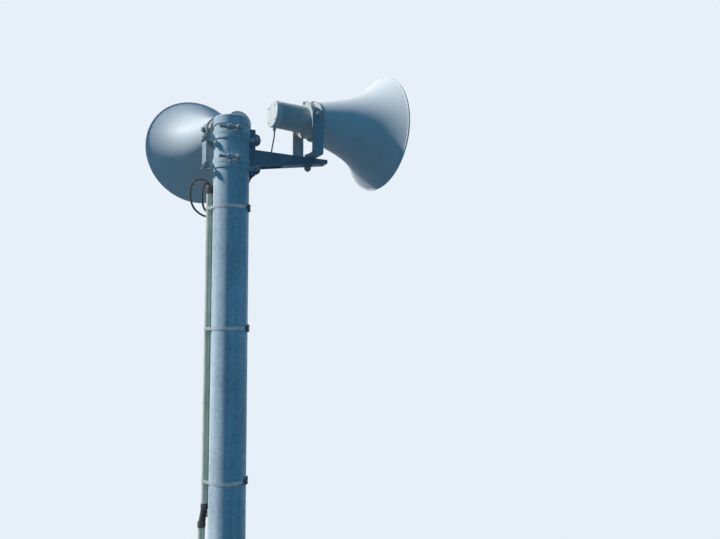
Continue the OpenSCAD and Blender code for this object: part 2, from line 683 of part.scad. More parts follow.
module throat() difference() {
    union() {
        turn_x([[throat_flange_x[0], 0], [bell_flange_x[1], 0], [bell_flange_x[1], bell_flange_r],
            [bell_flange_x[0], bell_flange_r], [bell_flange_x[0] - 3, neck_r], [throat_flange_x[1], neck_r],
            [throat_flange_x[1], driver_flange_r], [throat_flange_x[0], driver_flange_r]]);
        flange_lugs(throat_flange_x[0], throat_flange_x[1], neck_r, driver_lug_r);
        flange_lugs(bell_flange_x[0], bell_flange_x[1], neck_r, bell_lug_r);
        tilt_bosses(boss_r, boss_root_r, yoke_leg_y - seat);
        turn_x([[tone_tube_x[0], 0], [tone_tube_x[1], 0], [tone_tube_x[1], tone_tube_r],
            [tone_tube_x[0], tone_tube_r]]);
    }
    turn_x([[throat_cavity_x, tone_tube_r + throat_hub_t], [bell_flange_x[0], tone_tube_r],
        [bell_flange_x[1] + 1, tone_tube_r], [bell_flange_x[1] + 1, bell_start_r - bell_wall - 1],
        [bell_flange_x[0] + 2, neck_r - throat_wall], [throat_cavity_x, neck_r - 2 * throat_wall]]);
    turn_x([[throat_flange_x[0] - 1, 0], [tone_tube_x[1] + 1, 0], [tone_tube_x[1] + 1, tone_bore_r[1]],
        [throat_flange_x[0] - 1, tone_bore_r[0]]]);
}

// Driver housing: a cup with a front flange, notched where the tilt bosses stand out
module driver() {
    x0 = -driver_back + rear_cap_len;
    xf = driver_flange_x[0];
    x1 = driver_flange_x[1];
    difference() {
        union() {
            turn_x([[x0, 0], [x0, driver_rear_r], [xf, driver_front_r], [xf, driver_flange_r],
                [x1, driver_flange_r], [x1, driver_front_r - 10], [xf - 6, driver_front_r - driver_wall - 2],
                [x0 + driver_wall, driver_rear_r - driver_wall], [x0 + driver_wall, 0]]);
            flange_lugs(xf, x1, driver_flange_r - 6, driver_lug_r);
        }
        for (side = [0, 1]) mirror([0, side, 0])
            translate([-boss_r - seat, boss_root_r - 1, -boss_r - seat])
                cube([2 * boss_r, driver_flange_r, 2 * (boss_r + seat)]);
    }
}

module rear_cap() translate([-driver_back, 0, 0]) rotate([0, 90, 0]) rotate_extrude() {
    square([rear_cap_r - rear_cap_round, rear_cap_len]);
    translate([0, rear_cap_round]) square([rear_cap_r, rear_cap_len - rear_cap_round]);
    translate([rear_cap_r - rear_cap_round, rear_cap_round]) circle(r = rear_cap_round);
}

// Cable gland below the rear cap, a short stub and the dome that grips the lead
module gland() difference() {
    translate([gland_x, 0, -gland_low]) rotate_extrude() {
        translate([0, gland_tip_h - 2]) square([gland_d / 2, gland_low - rear_cap_r - gland_tip_h + 4]);
        square([lead_d / 2 + 3, gland_tip_h]);
    }
    translate([gland_x - gland_d, 0, 0]) rotate([0, 90, 0])
        cylinder(r = rear_cap_r + seat / 3, h = 2 * gland_d);
}

// The two bolts that a horn tilts on, threaded into its bosses through the yoke's legs
module tilt_bolts() for (s = [0, 180]) rotate([s, 0, 0]) rotate([-90, 0, 0]) {
    translate([0, 0, yoke_leg_y - seat]) cylinder(d = tilt_bolt_d, h = yoke_t + 2 * seat + 1);
    translate([0, 0, yoke_leg_y + yoke_t + seat]) cylinder(r = tilt_bolt_d * 0.87, h = tilt_head_h, $fn = 6);
}

module cable(start, loop, i) swept_tube(cable_route(start, loop, arm_angles[i]), cable_d, 8);
module lead_lower(i) arm_frame(i) swept_tube(lead_route(i, lead_z[0], lead_z[2], 5), lead_d, 8);
module lead_upper(i) arm_frame(i) swept_tube(lead_route(i, lead_z[2] + seat, lead_z[4], 5), lead_d, 8);

base_plate();
base_ribs();
pole_lower();
pole_middle();
pole_upper();
pole_cap();
conduit_upper();
conduit_middle();
conduit_lower();
conduit_couplings();
conduit_entry_cap();
conduit_end_bushing();
conduit_bands();
step_bolts();
color("gray") arm_frame(0) arm_foot(0);  // right_arm_foot
color("gray") arm_frame(0) arm();  // right_arm
color("silver") arm_frame(0) arm_band(band_z(0, 0));  // right_band_upper
color("silver") arm_frame(0) arm_band(band_z(0, 1));  // right_band_lower
color("gray") arm_frame(1) arm_foot(1);  // left_arm_foot
color("gray") arm_frame(1) arm();  // left_arm
color("silver") arm_frame(1) arm_band(band_z(1, 0));  // left_band_upper
color("silver") arm_frame(1) arm_band(band_z(1, 1));  // left_band_lower
pan_bolts();
color("black") cable(right_cable_start, right_cable_loop, 0);  // right_cable
color("black") cable(left_cable_start, left_cable_loop, 1);  // left_cable
color("black") lead_lower(0);  // right_lead_lower
color("black") lead_lower(1);  // left_lead_lower
color("black") lead_upper(0);  // right_lead_upper
color("black") lead_upper(1);  // left_lead_upper
color("gray") yoke_frame(0) yoke();  // right_yoke
color("gray") yoke_frame(1) yoke();  // left_yoke
color("whitesmoke") horn_frame(0) bell();  // right_bell
color("whitesmoke") horn_frame(0) reflector();  // right_reflector
color("whitesmoke") horn_frame(0) throat();  // right_throat
color("whitesmoke") horn_frame(0) driver();  // right_driver
color("white") horn_frame(0) rear_cap();  // right_rear_cap
color("dimgray") horn_frame(0) gland();  // right_gland
color("gray") horn_frame(0) tilt_bolts();  // right_tilt_bolts
color("whitesmoke") horn_frame(1) bell();  // left_bell
color("whitesmoke") horn_frame(1) reflector();  // left_reflector
color("whitesmoke") horn_frame(1) throat();  // left_throat
color("whitesmoke") horn_frame(1) driver();  // left_driver
color("white") horn_frame(1) rear_cap();  // left_rear_cap
color("dimgray") horn_frame(1) gland();  // left_gland
color("gray") horn_frame(1) tilt_bolts();  // left_tilt_bolts
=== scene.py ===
# %% [markdown]
# # A siren tower, dressed for its picture
#
# The steel pole, its arms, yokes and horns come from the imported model, each at its real size. This
# lesson gives them their finishes, models the parts that need a finer form than the construction
# carries (the flared bells, the fasteners, the cables) and sets the tower before a plain backdrop.
#
# The frame is loaded first. Everything after it is in metres, with the origin at the centre of the
# base plate's underside and the right arm along +X.

# %% Load the frame
import json
import math
from functools import partial

import bpy
from mathutils import Matrix, Vector
from mathutils.geometry import interpolate_bezier


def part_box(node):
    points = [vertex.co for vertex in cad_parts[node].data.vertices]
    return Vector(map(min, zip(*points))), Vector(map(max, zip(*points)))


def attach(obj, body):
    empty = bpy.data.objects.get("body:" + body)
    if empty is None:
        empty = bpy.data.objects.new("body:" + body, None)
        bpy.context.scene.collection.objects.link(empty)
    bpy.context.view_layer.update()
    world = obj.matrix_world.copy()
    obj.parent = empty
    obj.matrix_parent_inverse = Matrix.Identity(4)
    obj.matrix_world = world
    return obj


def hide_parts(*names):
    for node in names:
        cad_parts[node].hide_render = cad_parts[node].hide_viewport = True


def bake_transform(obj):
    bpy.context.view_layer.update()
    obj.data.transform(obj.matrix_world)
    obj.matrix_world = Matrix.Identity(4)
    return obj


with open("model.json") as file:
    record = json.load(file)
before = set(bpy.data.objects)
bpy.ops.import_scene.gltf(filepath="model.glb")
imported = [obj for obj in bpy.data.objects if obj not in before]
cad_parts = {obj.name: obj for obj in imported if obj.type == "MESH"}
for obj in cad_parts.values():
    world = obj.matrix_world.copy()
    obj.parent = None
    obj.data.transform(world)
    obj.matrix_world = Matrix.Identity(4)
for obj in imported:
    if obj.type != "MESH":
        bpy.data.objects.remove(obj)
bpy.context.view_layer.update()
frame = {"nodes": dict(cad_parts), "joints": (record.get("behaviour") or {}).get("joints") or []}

# %% [markdown]
# ## Camera
#
# The picture was taken from a window 2.75 m from the pole and about a metre below the horns' axes,
# with the lens tilted a little upwards. A camera could be aimed with a constraint. Writing its place
# and its three turns down keeps it fixed, and each number can be checked against the picture.

# %% Set up the camera
CAMERA_PLACE = (-0.7416, -2.6514, 11.617)
CAMERA_AZIMUTH = 61.7
CAMERA_PITCH = 5.52
CAMERA_ROLL = -0.48
LENS_MM = 29.0
SENSOR_MM = 36.0


def turn(degrees, axis):
    """A rotation about one axis, as a 4 by 4 matrix."""
    return Matrix.Rotation(math.radians(degrees), 4, axis)


def shift(x, y, z):
    """A move, as a 4 by 4 matrix."""
    return Matrix.Translation((x, y, z))


def add_camera():
    """The camera at the window, which becomes the scene's camera."""
    aim = turn(CAMERA_AZIMUTH - 90, "Z") @ turn(90 + CAMERA_PITCH, "X") @ turn(CAMERA_ROLL, "Z")
    bpy.ops.object.camera_add(location=CAMERA_PLACE, rotation=aim.to_euler())
    camera = bpy.context.object
    camera.name = "window_camera"
    camera.data.lens = LENS_MM
    camera.data.sensor_width = SENSOR_MM
    bpy.context.scene.camera = camera


add_camera()
print("camera at", CAMERA_PLACE)

# %% [markdown]
# ## Where things are
#
# The frame's joints say where each yoke turns and where each horn tilts, so the arms, yokes and
# horns get their own local frames from them. A bolt or a bell is then modelled once, upright at the
# origin, and a matrix carries it to each place where the real one has it.

# %% Local frames
JOINTS = {joint["name"]: joint for joint in frame["joints"]}
SIDES = ("right", "left")
POLE_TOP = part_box("pole_cap")[1].z


def pivot(side):
    """The point on an arm's flat top where its yoke turns."""
    return Vector(JOINTS[f"{side}_yoke_pan"]["pos_m"])


def arm_angle(side):
    """The direction of an arm, in degrees from +X."""
    return math.degrees(math.atan2(pivot(side).y, pivot(side).x))


def horn_angle(side):
    """The direction in which a horn looks, at a right angle to the bolts that it tilts on."""
    ahead = Vector((0, 0, 1)).cross(Vector(JOINTS[f"{side}_horn_tilt"]["axis"]))
    return math.degrees(math.atan2(ahead.y, ahead.x))


def arm_frame(side):
    """Turns a piece from +X to the side's arm, about the pole's axis."""
    return turn(arm_angle(side), "Z")


def horn_frame(side):
    """Carries a piece from the origin to a horn's tilt axis, looking the way that the horn does."""
    centre = Vector((pivot(side).x, pivot(side).y, JOINTS[f"{side}_horn_tilt"]["pos_m"][2]))
    return Matrix.Translation(centre) @ turn(horn_angle(side), "Z")


ALONG_X = turn(90, "Y")
for side in SIDES:
    print(side, "arm at", round(arm_angle(side), 2), "and horn at", round(horn_angle(side), 2), "degrees")

# %% [markdown]
# ## Cables
#
# Two black rubber cables leave the arms through a slot in each arm's foot, run down behind it and
# round the back of the pole, and hang beside the conduit in a slack loop before they enter its cap.
# Slack like this keeps water out of the conduit and lets a horn be taken down. A cable could be drawn
# with a few wide handles, but then its length and its bends are hard to read. Here each route is a
# list of points that one smooth curve runs through, the same points as in the construction. The curve
# is then made a mesh, which keeps its true outer box.

# %% The cables' routes
CABLE_D = 0.010
CONDUIT_ANGLE = 150.0

# Out of the arm and round the pole: distance from the pole's axis, direction in degrees from the
# arm's own, and height from the pole's top
DOWN_THE_FOOT = [
    (0.198, 0, -0.160), (0.198, 0, -0.166), (0.191, 0, -0.173), (0.176, 0, -0.176), (0.158, 0, -0.178),
    (0.138, 0, -0.180), (0.121, 0, -0.184), (0.110, 0, -0.191), (0.101, 0, -0.202), (0.095, 0, -0.216),
    (0.093, 0, -0.236), (0.093, 0, -0.262), (0.092, 3, -0.276),
]
RIGHT_START = [
    *DOWN_THE_FOOT, (0.091, 10, -0.288), (0.090, 20, -0.298), (0.089, 34, -0.310), (0.089, 48, -0.318),
    (0.089, 62, -0.323), (0.089, 76, -0.326), (0.089, 90, -0.328), (0.089, 104, -0.329),
]
LEFT_START = [*DOWN_THE_FOOT, (0.091, 10, -0.286), (0.091, 20, -0.295), (0.092, 32, -0.303)]
# The slack loops: distance out in the conduit's direction, sideways from it, and height from the
# pole's top
RIGHT_LOOP = [
    (0.081, -0.052, -0.328), (0.098, -0.048, -0.323), (0.112, -0.046, -0.313), (0.123, -0.045, -0.301),
    (0.131, -0.044, -0.295), (0.138, -0.044, -0.297), (0.142, -0.044, -0.305), (0.145, -0.044, -0.318),
    (0.149, -0.044, -0.343), (0.150, -0.044, -0.371), (0.148, -0.044, -0.396), (0.143, -0.044, -0.414),
    (0.137, -0.044, -0.425), (0.129, -0.044, -0.431), (0.120, -0.044, -0.430), (0.113, -0.044, -0.422),
    (0.110, -0.044, -0.407), (0.109, -0.044, -0.385), (0.109, -0.043, -0.361), (0.109, -0.039, -0.343),
    (0.109, -0.034, -0.333), (0.109, -0.0265, -0.333),
]
LEFT_LOOP = [
    (0.086, -0.054, -0.308), (0.101, -0.057, -0.309), (0.116, -0.059, -0.300), (0.132, -0.061, -0.286),
    (0.148, -0.063, -0.275), (0.168, -0.064, -0.270), (0.189, -0.065, -0.273), (0.204, -0.066, -0.286),
    (0.213, -0.066, -0.307), (0.216, -0.066, -0.330), (0.215, -0.066, -0.355), (0.212, -0.065, -0.376),
    (0.205, -0.064, -0.396), (0.192, -0.063, -0.418), (0.174, -0.062, -0.435), (0.156, -0.061, -0.447),
    (0.138, -0.060, -0.454), (0.121, -0.059, -0.454), (0.106, -0.057, -0.444), (0.097, -0.054, -0.426),
    (0.094, -0.050, -0.404), (0.093, -0.047, -0.380), (0.093, -0.044, -0.357), (0.093, -0.039, -0.342),
    (0.093, -0.034, -0.333), (0.093, -0.0265, -0.333),
]


def cable_route(side, start, loop):
    """A cable's route in the tower's frame, from its two lists."""
    top = shift(0, 0, POLE_TOP)
    first = [top @ turn(arm_angle(side) + angle, "Z") @ Vector((far, 0, z)) for far, angle, z in start]
    last = [top @ turn(CONDUIT_ANGLE, "Z") @ Vector(point) for point in loop]
    return first + last


ROUTES = {
    "right": cable_route("right", RIGHT_START, RIGHT_LOOP),
    "left": cable_route("left", LEFT_START, LEFT_LOOP),
}

# %% Draw the cables


def select_only(*objects):
    """Leaves nothing selected but these objects. The last one is active."""
    bpy.ops.object.select_all(action="DESELECT")
    for obj in objects:
        obj.select_set(True)
        bpy.context.view_layer.objects.active = obj


def drawn_tube(name, route, diameter):
    """A curve of one open spline that runs smoothly through the route, as thick as the cable."""
    curve = bpy.data.curves.new(name, "CURVE")
    curve.dimensions = "3D"
    curve.bevel_depth = diameter / 2
    curve.bevel_resolution = 3
    curve.resolution_u = 6
    curve.use_fill_caps = True
    spline = curve.splines.new("BEZIER")
    spline.bezier_points.add(len(route) - 1)
    for point, place in zip(spline.bezier_points, route):
        point.co = place
        point.handle_left_type = "AUTO"
        point.handle_right_type = "AUTO"
    tube = bpy.data.objects.new(name, curve)
    bpy.context.scene.collection.objects.link(tube)
    bpy.context.view_layer.update()
    return tube


def middle_line(tube):
    """Points close together along a tube's spline."""
    knots = tube.data.splines[0].bezier_points
    line = [knots[0].co.copy()]
    for near, far in zip(knots, knots[1:]):
        handles = (near.co, near.handle_right, far.handle_left, far.co)
        line += interpolate_bezier(*handles, tube.data.resolution_u + 1)[1:]
    return line


def made_mesh(tube):
    """The same tube as a mesh."""
    select_only(tube)
    bpy.ops.object.convert(target="MESH")
    return bpy.context.object


def add_cable(side):
    """A slack cable from an arm to the conduit's cap."""
    cable = drawn_tube(f"{side}_cable_sheath", ROUTES[side], CABLE_D)
    line = middle_line(cable)
    cable = made_mesh(cable)
    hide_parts(f"{side}_cable")
    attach(cable, "root")
    return cable


cables = {side: add_cable(side) for side in SIDES}

# %% [markdown]
# ## Modelling helpers
#
# Most of the small parts are round or hexagonal: bolts, washers, glands, hoses and the bells
# themselves. By hand, such a piece starts as a circle, which is extruded upwards and scaled from one
# height to the next, and that is what the first helper does. The next ones draw a ring, join pieces
# in one, set out copies of a piece, each with its own mesh, and give a piece its material and smooth
# shading. The last gives a finished piece its body too.

# %% Helpers
SHARP_EDGE = 35


def turned(stations, sides=32, closed=True):
    """A round piece about +Z, from (height, radius) stations. With few sides it is a prism."""
    bpy.ops.object.select_all(action="DESELECT")
    height, radius = stations[0]
    fill = "NGON" if closed else "NOTHING"
    bpy.ops.mesh.primitive_circle_add(vertices=sides, radius=radius, fill_type=fill)
    piece = bpy.context.object
    bpy.ops.object.mode_set(mode="EDIT")
    bpy.ops.mesh.select_all(action="SELECT")
    bpy.ops.transform.translate(value=(0, 0, height))
    for next_height, next_radius in stations[1:]:
        rise = {"value": (0, 0, next_height - height)}
        bpy.ops.mesh.extrude_region_move(TRANSFORM_OT_translate=rise)
        widen = next_radius / radius
        bpy.ops.transform.resize(value=(widen, widen, 1), center_override=(0, 0, next_height))
        height, radius = next_height, next_radius
    bpy.ops.mesh.select_all(action="SELECT")
    bpy.ops.mesh.normals_make_consistent(inside=False)
    bpy.ops.object.mode_set(mode="OBJECT")
    return piece


def ring(height, radius, thickness, around, across=10):
    """A round ring about +Z, from the radius of its middle line and of its section."""
    bpy.ops.mesh.primitive_torus_add(
        location=(0, 0, height), major_segments=around, minor_segments=across, major_radius=radius,
        minor_radius=thickness)
    return joined("ring", bpy.context.object)


def joined(name, *pieces):
    """One object of several pieces, with its place in its mesh."""
    select_only(*pieces)
    if len(pieces) > 1:
        bpy.ops.object.join()
    whole = bpy.context.object
    whole.name = name
    bpy.ops.object.transform_apply(location=True, rotation=True, scale=True)
    return whole


def set_out(name, pattern, places):
    """Copies of a pattern at each of the places, joined in one piece. The pattern is used up."""
    copies = []
    for place in places:
        copy = pattern.copy()
        copy.data = pattern.data.copy()
        copy.matrix_world = place
        bpy.context.scene.collection.objects.link(copy)
        copies.append(copy)
    bpy.data.objects.remove(pattern)
    return joined(name, *copies)


def coated(piece, material):
    """Gives a piece its one material, and smooth shading apart from its sharp edges."""
    piece.data.materials.clear()
    piece.data.materials.append(material)
    select_only(piece)
    bpy.ops.object.shade_smooth_by_angle(angle=math.radians(SHARP_EDGE))


def finished(piece, body, material, replaced=()):
    """Gives a piece its finish and its body, and hides the nodes that it stands for."""
    coated(piece, material)
    if replaced:
        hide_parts(*replaced)
    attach(piece, body)
    return piece


# %% [markdown]
# ## Finishes
#
# Every finish is a Principled shader with a few texture nodes before it. The patterns read Object
# coordinates, which are metres of the real tower, so a pattern keeps its size on every piece that
# has it. A number that is the same all over stays on the shader's own socket.

# %% Node helpers
DULL_GLOSS = 0.15
SOFT_GLOSS = 0.3


def new_finish(name, **sockets):
    """A material with its shader's constant sockets set, and what adds and links its nodes."""
    material = bpy.data.materials.new(name)
    material.use_nodes = True
    shader = material.node_tree.nodes["Principled BSDF"]
    for socket, value in sockets.items():
        shader.inputs[socket.replace("_", " ").title().replace("Ior", "IOR")].default_value = value
    return material, partial(add_node, material), partial(feed, material)


def add_node(material, kind, inputs=None, **settings):
    """A node of that kind, with its inputs set to values or linked to other nodes' outputs."""
    node = material.node_tree.nodes.new(f"ShaderNode{kind}")
    for setting, value in settings.items():
        setattr(node, setting, value)
    for socket, value in (inputs or {}).items():
        if isinstance(value, bpy.types.NodeSocket):
            material.node_tree.links.new(value, node.inputs[socket])
        else:
            node.inputs[socket].default_value = value
    return node


def feed(material, socket, output):
    """Links an output to one of the shader's sockets."""
    shader = material.node_tree.nodes["Principled BSDF"]
    material.node_tree.links.new(output, shader.inputs[socket])


def object_place(node, stretch=(1, 1, 1)):
    """Object coordinates, in metres, stretched by a factor along each axis."""
    coordinates = node("TexCoord").outputs["Object"]
    return node("Mapping", {"Vector": coordinates, "Scale": stretch}).outputs["Vector"]


def cloud(node, place, scale, detail=3.0, roughness=0.5):
    """Noise around 0.5, finer as its scale goes up."""
    inputs = {"Vector": place, "Scale": scale, "Detail": detail, "Roughness": roughness}
    return node("TexNoise", inputs).outputs["Fac"]


def combined(node, *parts):
    """0.5 plus each pattern's difference from 0.5 times its weight, from (pattern, weight) pairs."""
    total = None
    offset = 0.5 - 0.5 * sum(weight for pattern, weight in parts)
    for pattern, weight in parts:
        inputs = {0: pattern, 1: weight, 2: offset if total is None else total}
        total = node("Math", inputs, operation="MULTIPLY_ADD").outputs[0]
    return total


def shaded(node, factor, *stops):
    """Colours along a factor, from (position, colour) stops."""
    ramp = node("ValToRGB", {"Fac": factor})
    while len(ramp.color_ramp.elements) < len(stops):
        ramp.color_ramp.elements.new(0.5)
    for element, (position, colour) in zip(ramp.color_ramp.elements, stops):
        element.position = position
        element.color = (*colour, 1.0)
    return ramp.outputs["Color"]


def ranged(node, factor, low, high):
    """A factor from 0.25 to 0.75 spread over a range of values."""
    inputs = {"Value": factor, "From Min": 0.25, "From Max": 0.75, "To Min": low, "To Max": high}
    return node("MapRange", inputs).outputs["Result"]


def bumped(node, give, height, distance, strength):
    """Relief of that depth in metres."""
    inputs = {"Height": height, "Distance": distance, "Strength": strength}
    give("Normal", node("Bump", inputs).outputs["Normal"])


# %% [markdown]
# ### Galvanised steel
#
# Hot-dip zinc sets in flat crystals, about a centimetre across on the pole and finer on small parts,
# each a slightly different grey, and rain draws paler and darker streaks down it over the years. One
# noise could stand for all of this, but the crystals would be missing up close. A Voronoi texture
# gives each crystal its grey, a wide noise the weathered patches and a noise stretched along Z the
# streaks.

# %% Galvanised steel
CRYSTAL_RAGGEDNESS = 0.012


def galvanised(name, crystal, dark, light, streaks, metallic=0.0):
    """Zinc-coated steel, from the crystal's width in metres and its darkest and lightest grey."""
    material, node, give = new_finish(name, metallic=metallic, specular_ior_level=DULL_GLOSS)
    place = object_place(node)
    wander = node("TexNoise", {"Vector": place, "Scale": 0.6 / crystal, "Detail": 2.0}).outputs["Color"]
    ragged = node("MixRGB", {0: CRYSTAL_RAGGEDNESS, 1: place, 2: wander}).outputs[0]
    cells = node("TexVoronoi", {"Vector": ragged, "Scale": 1 / crystal})
    grey = node("SeparateColor", {"Color": cells.outputs["Color"]}).outputs["Red"]
    patches = cloud(node, place, 7.0, 5.0, 0.6)
    runs = cloud(node, object_place(node, (34, 34, 1.3)), 1.0, 4.0)
    fine = cloud(node, place, 420.0, 2.0)
    tone = combined(node, (grey, 0.26), (patches, 0.9), (runs, streaks), (fine, 0.14))
    middle = tuple((a + b) / 2 for a, b in zip(dark, light))
    give("Base Color", shaded(node, tone, (0.2, dark), (0.5, middle), (0.8, light)))
    give("Roughness", ranged(node, combined(node, (grey, 0.5), (patches, 0.6)), 0.72, 0.56))
    bumped(node, give, combined(node, (grey, 0.35), (fine, 0.6)), 0.0003, 0.5)
    return material


# The pole's zinc is lighter and bluer than plain zinc, which paints its sheen and the sky's blue light into
# its colour.
pole_zinc_with_painted_sheen = galvanised("galvanised_pole", 0.011, (0.45, 0.54, 0.58), (0.74, 0.84, 0.88), 1.1)
# The arms', yokes' and bolts' zinc are darker copies of the same steel, which paint in the shade that they
# stand in.
bracket_zinc_painted_shade = galvanised("galvanised_bracket", 0.008, (0.17, 0.22, 0.26), (0.34, 0.40, 0.44), 0.25)
yoke_zinc_painted_shade = galvanised("galvanised_yoke_painted_shade", 0.008, (0.28, 0.34, 0.38), (0.48, 0.55, 0.59), 0.25)
bolt_zinc_painted_shade = galvanised("bolt_zinc_painted_shade", 0.004, (0.18, 0.23, 0.26), (0.38, 0.44, 0.47), 0.1, 0.2)
# The buckles' zinc is almost black, which paints in the shade that they sit in.
buckle_zinc_painted_shade = galvanised("buckle_painted_shade", 0.004, (0.06, 0.08, 0.09), (0.16, 0.19, 0.21), 0.1)
for zinc in (pole_zinc_with_painted_sheen, bracket_zinc_painted_shade, yoke_zinc_painted_shade, bolt_zinc_painted_shade, buckle_zinc_painted_shade):
    print("zinc finish:", zinc.name)

# %% [markdown]
# ### Horn paint
#
# The horns are sprayed off-white on aluminium. Years outdoors leave the gloss patchy, with faint
# grey runs below the rim and the flanges and a slight orange-peel relief. A plain white would look
# like plastic, so the colour drifts a little and the roughness follows it.

# %% Horn paint and the rear caps


def horn_paint(name, clean, soiled, soil=0.5):
    """Weathered spray paint, between a clean and a soiled colour."""
    material, node, give = new_finish(name, specular_ior_level=DULL_GLOSS)
    place = object_place(node)
    patches = cloud(node, place, 5.0, 6.0, 0.6)
    runs = cloud(node, object_place(node, (60, 60, 3.0)), 1.0, 5.0, 0.6)
    specks = cloud(node, place, 160.0, 3.0, 0.7)
    tone = combined(node, (patches, 0.6), (runs, soil), (specks, 0.25))
    between = tuple(0.3 * a + 0.7 * b for a, b in zip(soiled, clean))
    give("Base Color", shaded(node, tone, (0.18, soiled), (0.38, between), (0.6, clean)))
    give("Roughness", ranged(node, combined(node, (patches, 0.8), (runs, 0.4)), 0.58, 0.46))
    bumped(node, give, cloud(node, place, 900.0, 2.0), 0.00012, 0.35)
    return material


bell_paint = horn_paint("horn_paint", (0.80, 0.82, 0.82), (0.60, 0.63, 0.62))
# The drivers and throats have a darker paint than the bells: partly soiling, partly painted shade.
driver_paint_soil_and_shade = horn_paint("driver_paint_soil_and_shade", (0.60, 0.62, 0.59), (0.38, 0.40, 0.37), 0.8)
lid_paint = horn_paint("rear_cap_paint", (0.84, 0.85, 0.82), (0.62, 0.60, 0.53), 0.8)
print("paints:", bell_paint.name, driver_paint_soil_and_shade.name, lid_paint.name)

# %% [markdown]
# ### Conduit, stainless strap, black fittings and cable rubber
#
# The conduit is steel with a cream coating that has greyed and picked up dirt along its length. The
# straps are rolled stainless steel, whose grain runs round the pole, so their noise is squeezed
# along Z. The fittings are black plastic, the drivers' glands grey, and the cable sheath dull rubber.

# %% The other finishes


def coated_conduit():
    """Cream plastic-coated steel, greyed by the weather."""
    material, node, give = new_finish("conduit_coating", specular_ior_level=SOFT_GLOSS)
    place = object_place(node)
    runs = cloud(node, object_place(node, (50, 50, 2.0)), 1.0, 5.0, 0.6)
    patches = cloud(node, place, 9.0, 5.0, 0.65)
    tone = combined(node, (runs, 0.9), (patches, 0.9), (cloud(node, place, 300.0), 0.25))
    give("Base Color", shaded(
        node, tone, (0.2, (0.46, 0.48, 0.36)), (0.5, (0.66, 0.68, 0.53)), (0.8, (0.84, 0.86, 0.70))))
    give("Roughness", ranged(node, patches, 0.55, 0.38))
    bumped(node, give, cloud(node, place, 500.0), 0.0002, 0.4)
    return material


def stainless_strap():
    """Rolled stainless strip, its grain along the strip."""
    material, node, give = new_finish("stainless_band", metallic=0.15, specular_ior_level=SOFT_GLOSS)
    grain = cloud(node, object_place(node, (1, 1, 60)), 30.0, 4.0, 0.6)
    patches = cloud(node, object_place(node), 25.0, 4.0)
    tone = combined(node, (grain, 0.7), (patches, 0.7))
    give("Base Color", shaded(node, tone, (0.25, (0.38, 0.42, 0.44)), (0.75, (0.66, 0.70, 0.71))))
    give("Roughness", ranged(node, tone, 0.42, 0.26))
    bumped(node, give, grain, 0.00008, 0.5)
    return material


def weathered_plastic(name, dark, worn, roughness):
    """Plastic or rubber, greyed in patches."""
    material, node, give = new_finish(name)
    place = object_place(node)
    tone = combined(node, (cloud(node, place, 30.0, 5.0, 0.6), 0.9), (cloud(node, place, 400.0), 0.4))
    give("Base Color", shaded(node, tone, (0.3, dark), (0.8, worn)))
    give("Roughness", ranged(node, tone, roughness - 0.08, roughness + 0.08))
    bumped(node, give, cloud(node, place, 900.0), 0.0001, 0.4)
    return material


conduit_cream = coated_conduit()
strap_steel = stainless_strap()
fitting_black = weathered_plastic("black_fitting", (0.016, 0.017, 0.018), (0.07, 0.075, 0.075), 0.48)
sheath_rubber = weathered_plastic("cable_sheath", (0.012, 0.013, 0.014), (0.05, 0.052, 0.052), 0.58)
gland_grey = weathered_plastic("gland_grey", (0.44, 0.47, 0.48), (0.62, 0.64, 0.64), 0.5)
print("other finishes:", conduit_cream.name, strap_steel.name, fitting_black.name, sheath_rubber.name)

# %% [markdown]
# ### Which piece has which finish
#
# Most of the tower is shown as it was constructed. A node has its material slots already, so a
# finish only has to be put in them, and nothing else about the node changes. What both sides have is
# listed once.

# %% Put the finishes on the construction's own pieces
FINISHES = {
    "base_plate": pole_zinc_with_painted_sheen, "base_ribs": pole_zinc_with_painted_sheen, "pole_lower": pole_zinc_with_painted_sheen, "pole_middle": pole_zinc_with_painted_sheen,
    "pole_upper": pole_zinc_with_painted_sheen, "pole_cap": pole_zinc_with_painted_sheen, "step_bolts": bolt_zinc_painted_shade, "pan_bolts": bolt_zinc_painted_shade,
    "conduit_upper": conduit_cream, "conduit_middle": conduit_cream, "conduit_lower": conduit_cream,
    "conduit_couplings": fitting_black, "conduit_entry_cap": fitting_black,
    "conduit_end_bushing": fitting_black, "conduit_bands": strap_steel,
}
SIDE_FINISHES = {
    "arm_foot": bracket_zinc_painted_shade, "arm": bracket_zinc_painted_shade, "band_upper": pole_zinc_with_painted_sheen, "band_lower": pole_zinc_with_painted_sheen,
    "cable": sheath_rubber, "lead_lower": sheath_rubber, "lead_upper": sheath_rubber,
    "yoke": yoke_zinc_painted_shade, "bell": bell_paint, "reflector": bell_paint, "throat": driver_paint_soil_and_shade,
    "driver": driver_paint_soil_and_shade, "rear_cap": lid_paint, "gland": fitting_black, "tilt_bolts": bolt_zinc_painted_shade,
}
for part, material in SIDE_FINISHES.items():
    for side in SIDES:
        FINISHES[f"{side}_{part}"] = material
for name, node_object in frame["nodes"].items():
    for holder in node_object.material_slots:
        holder.material = FINISHES[name]
for cable in cables.values():
    coated(cable, sheath_rubber)
print(len(FINISHES), "nodes have their finish")

# %% [markdown]
# ## Leads to the drivers
#
# A thin lead rises from a hole in each arm to the gland under the horn's driver. The yoke turns
# below it and the horn tilts above it, so the lead is made in two halves: the lower one runs from the
# arm towards the yoke, and the upper one from the yoke towards the horn.

# %% The leads
LEAD_D = 0.007
LEAD_HOLE_X = 0.198
GLAND_BACK = 0.183
LEAD_LOW = POLE_TOP - 0.160
LEAD_BEND = (POLE_TOP - 0.138, POLE_TOP - 0.0402)
LEAD_MIDDLE = POLE_TOP - 0.100
LEAD_TOP = POLE_TOP - 0.0285
LEAD_STEPS = 10


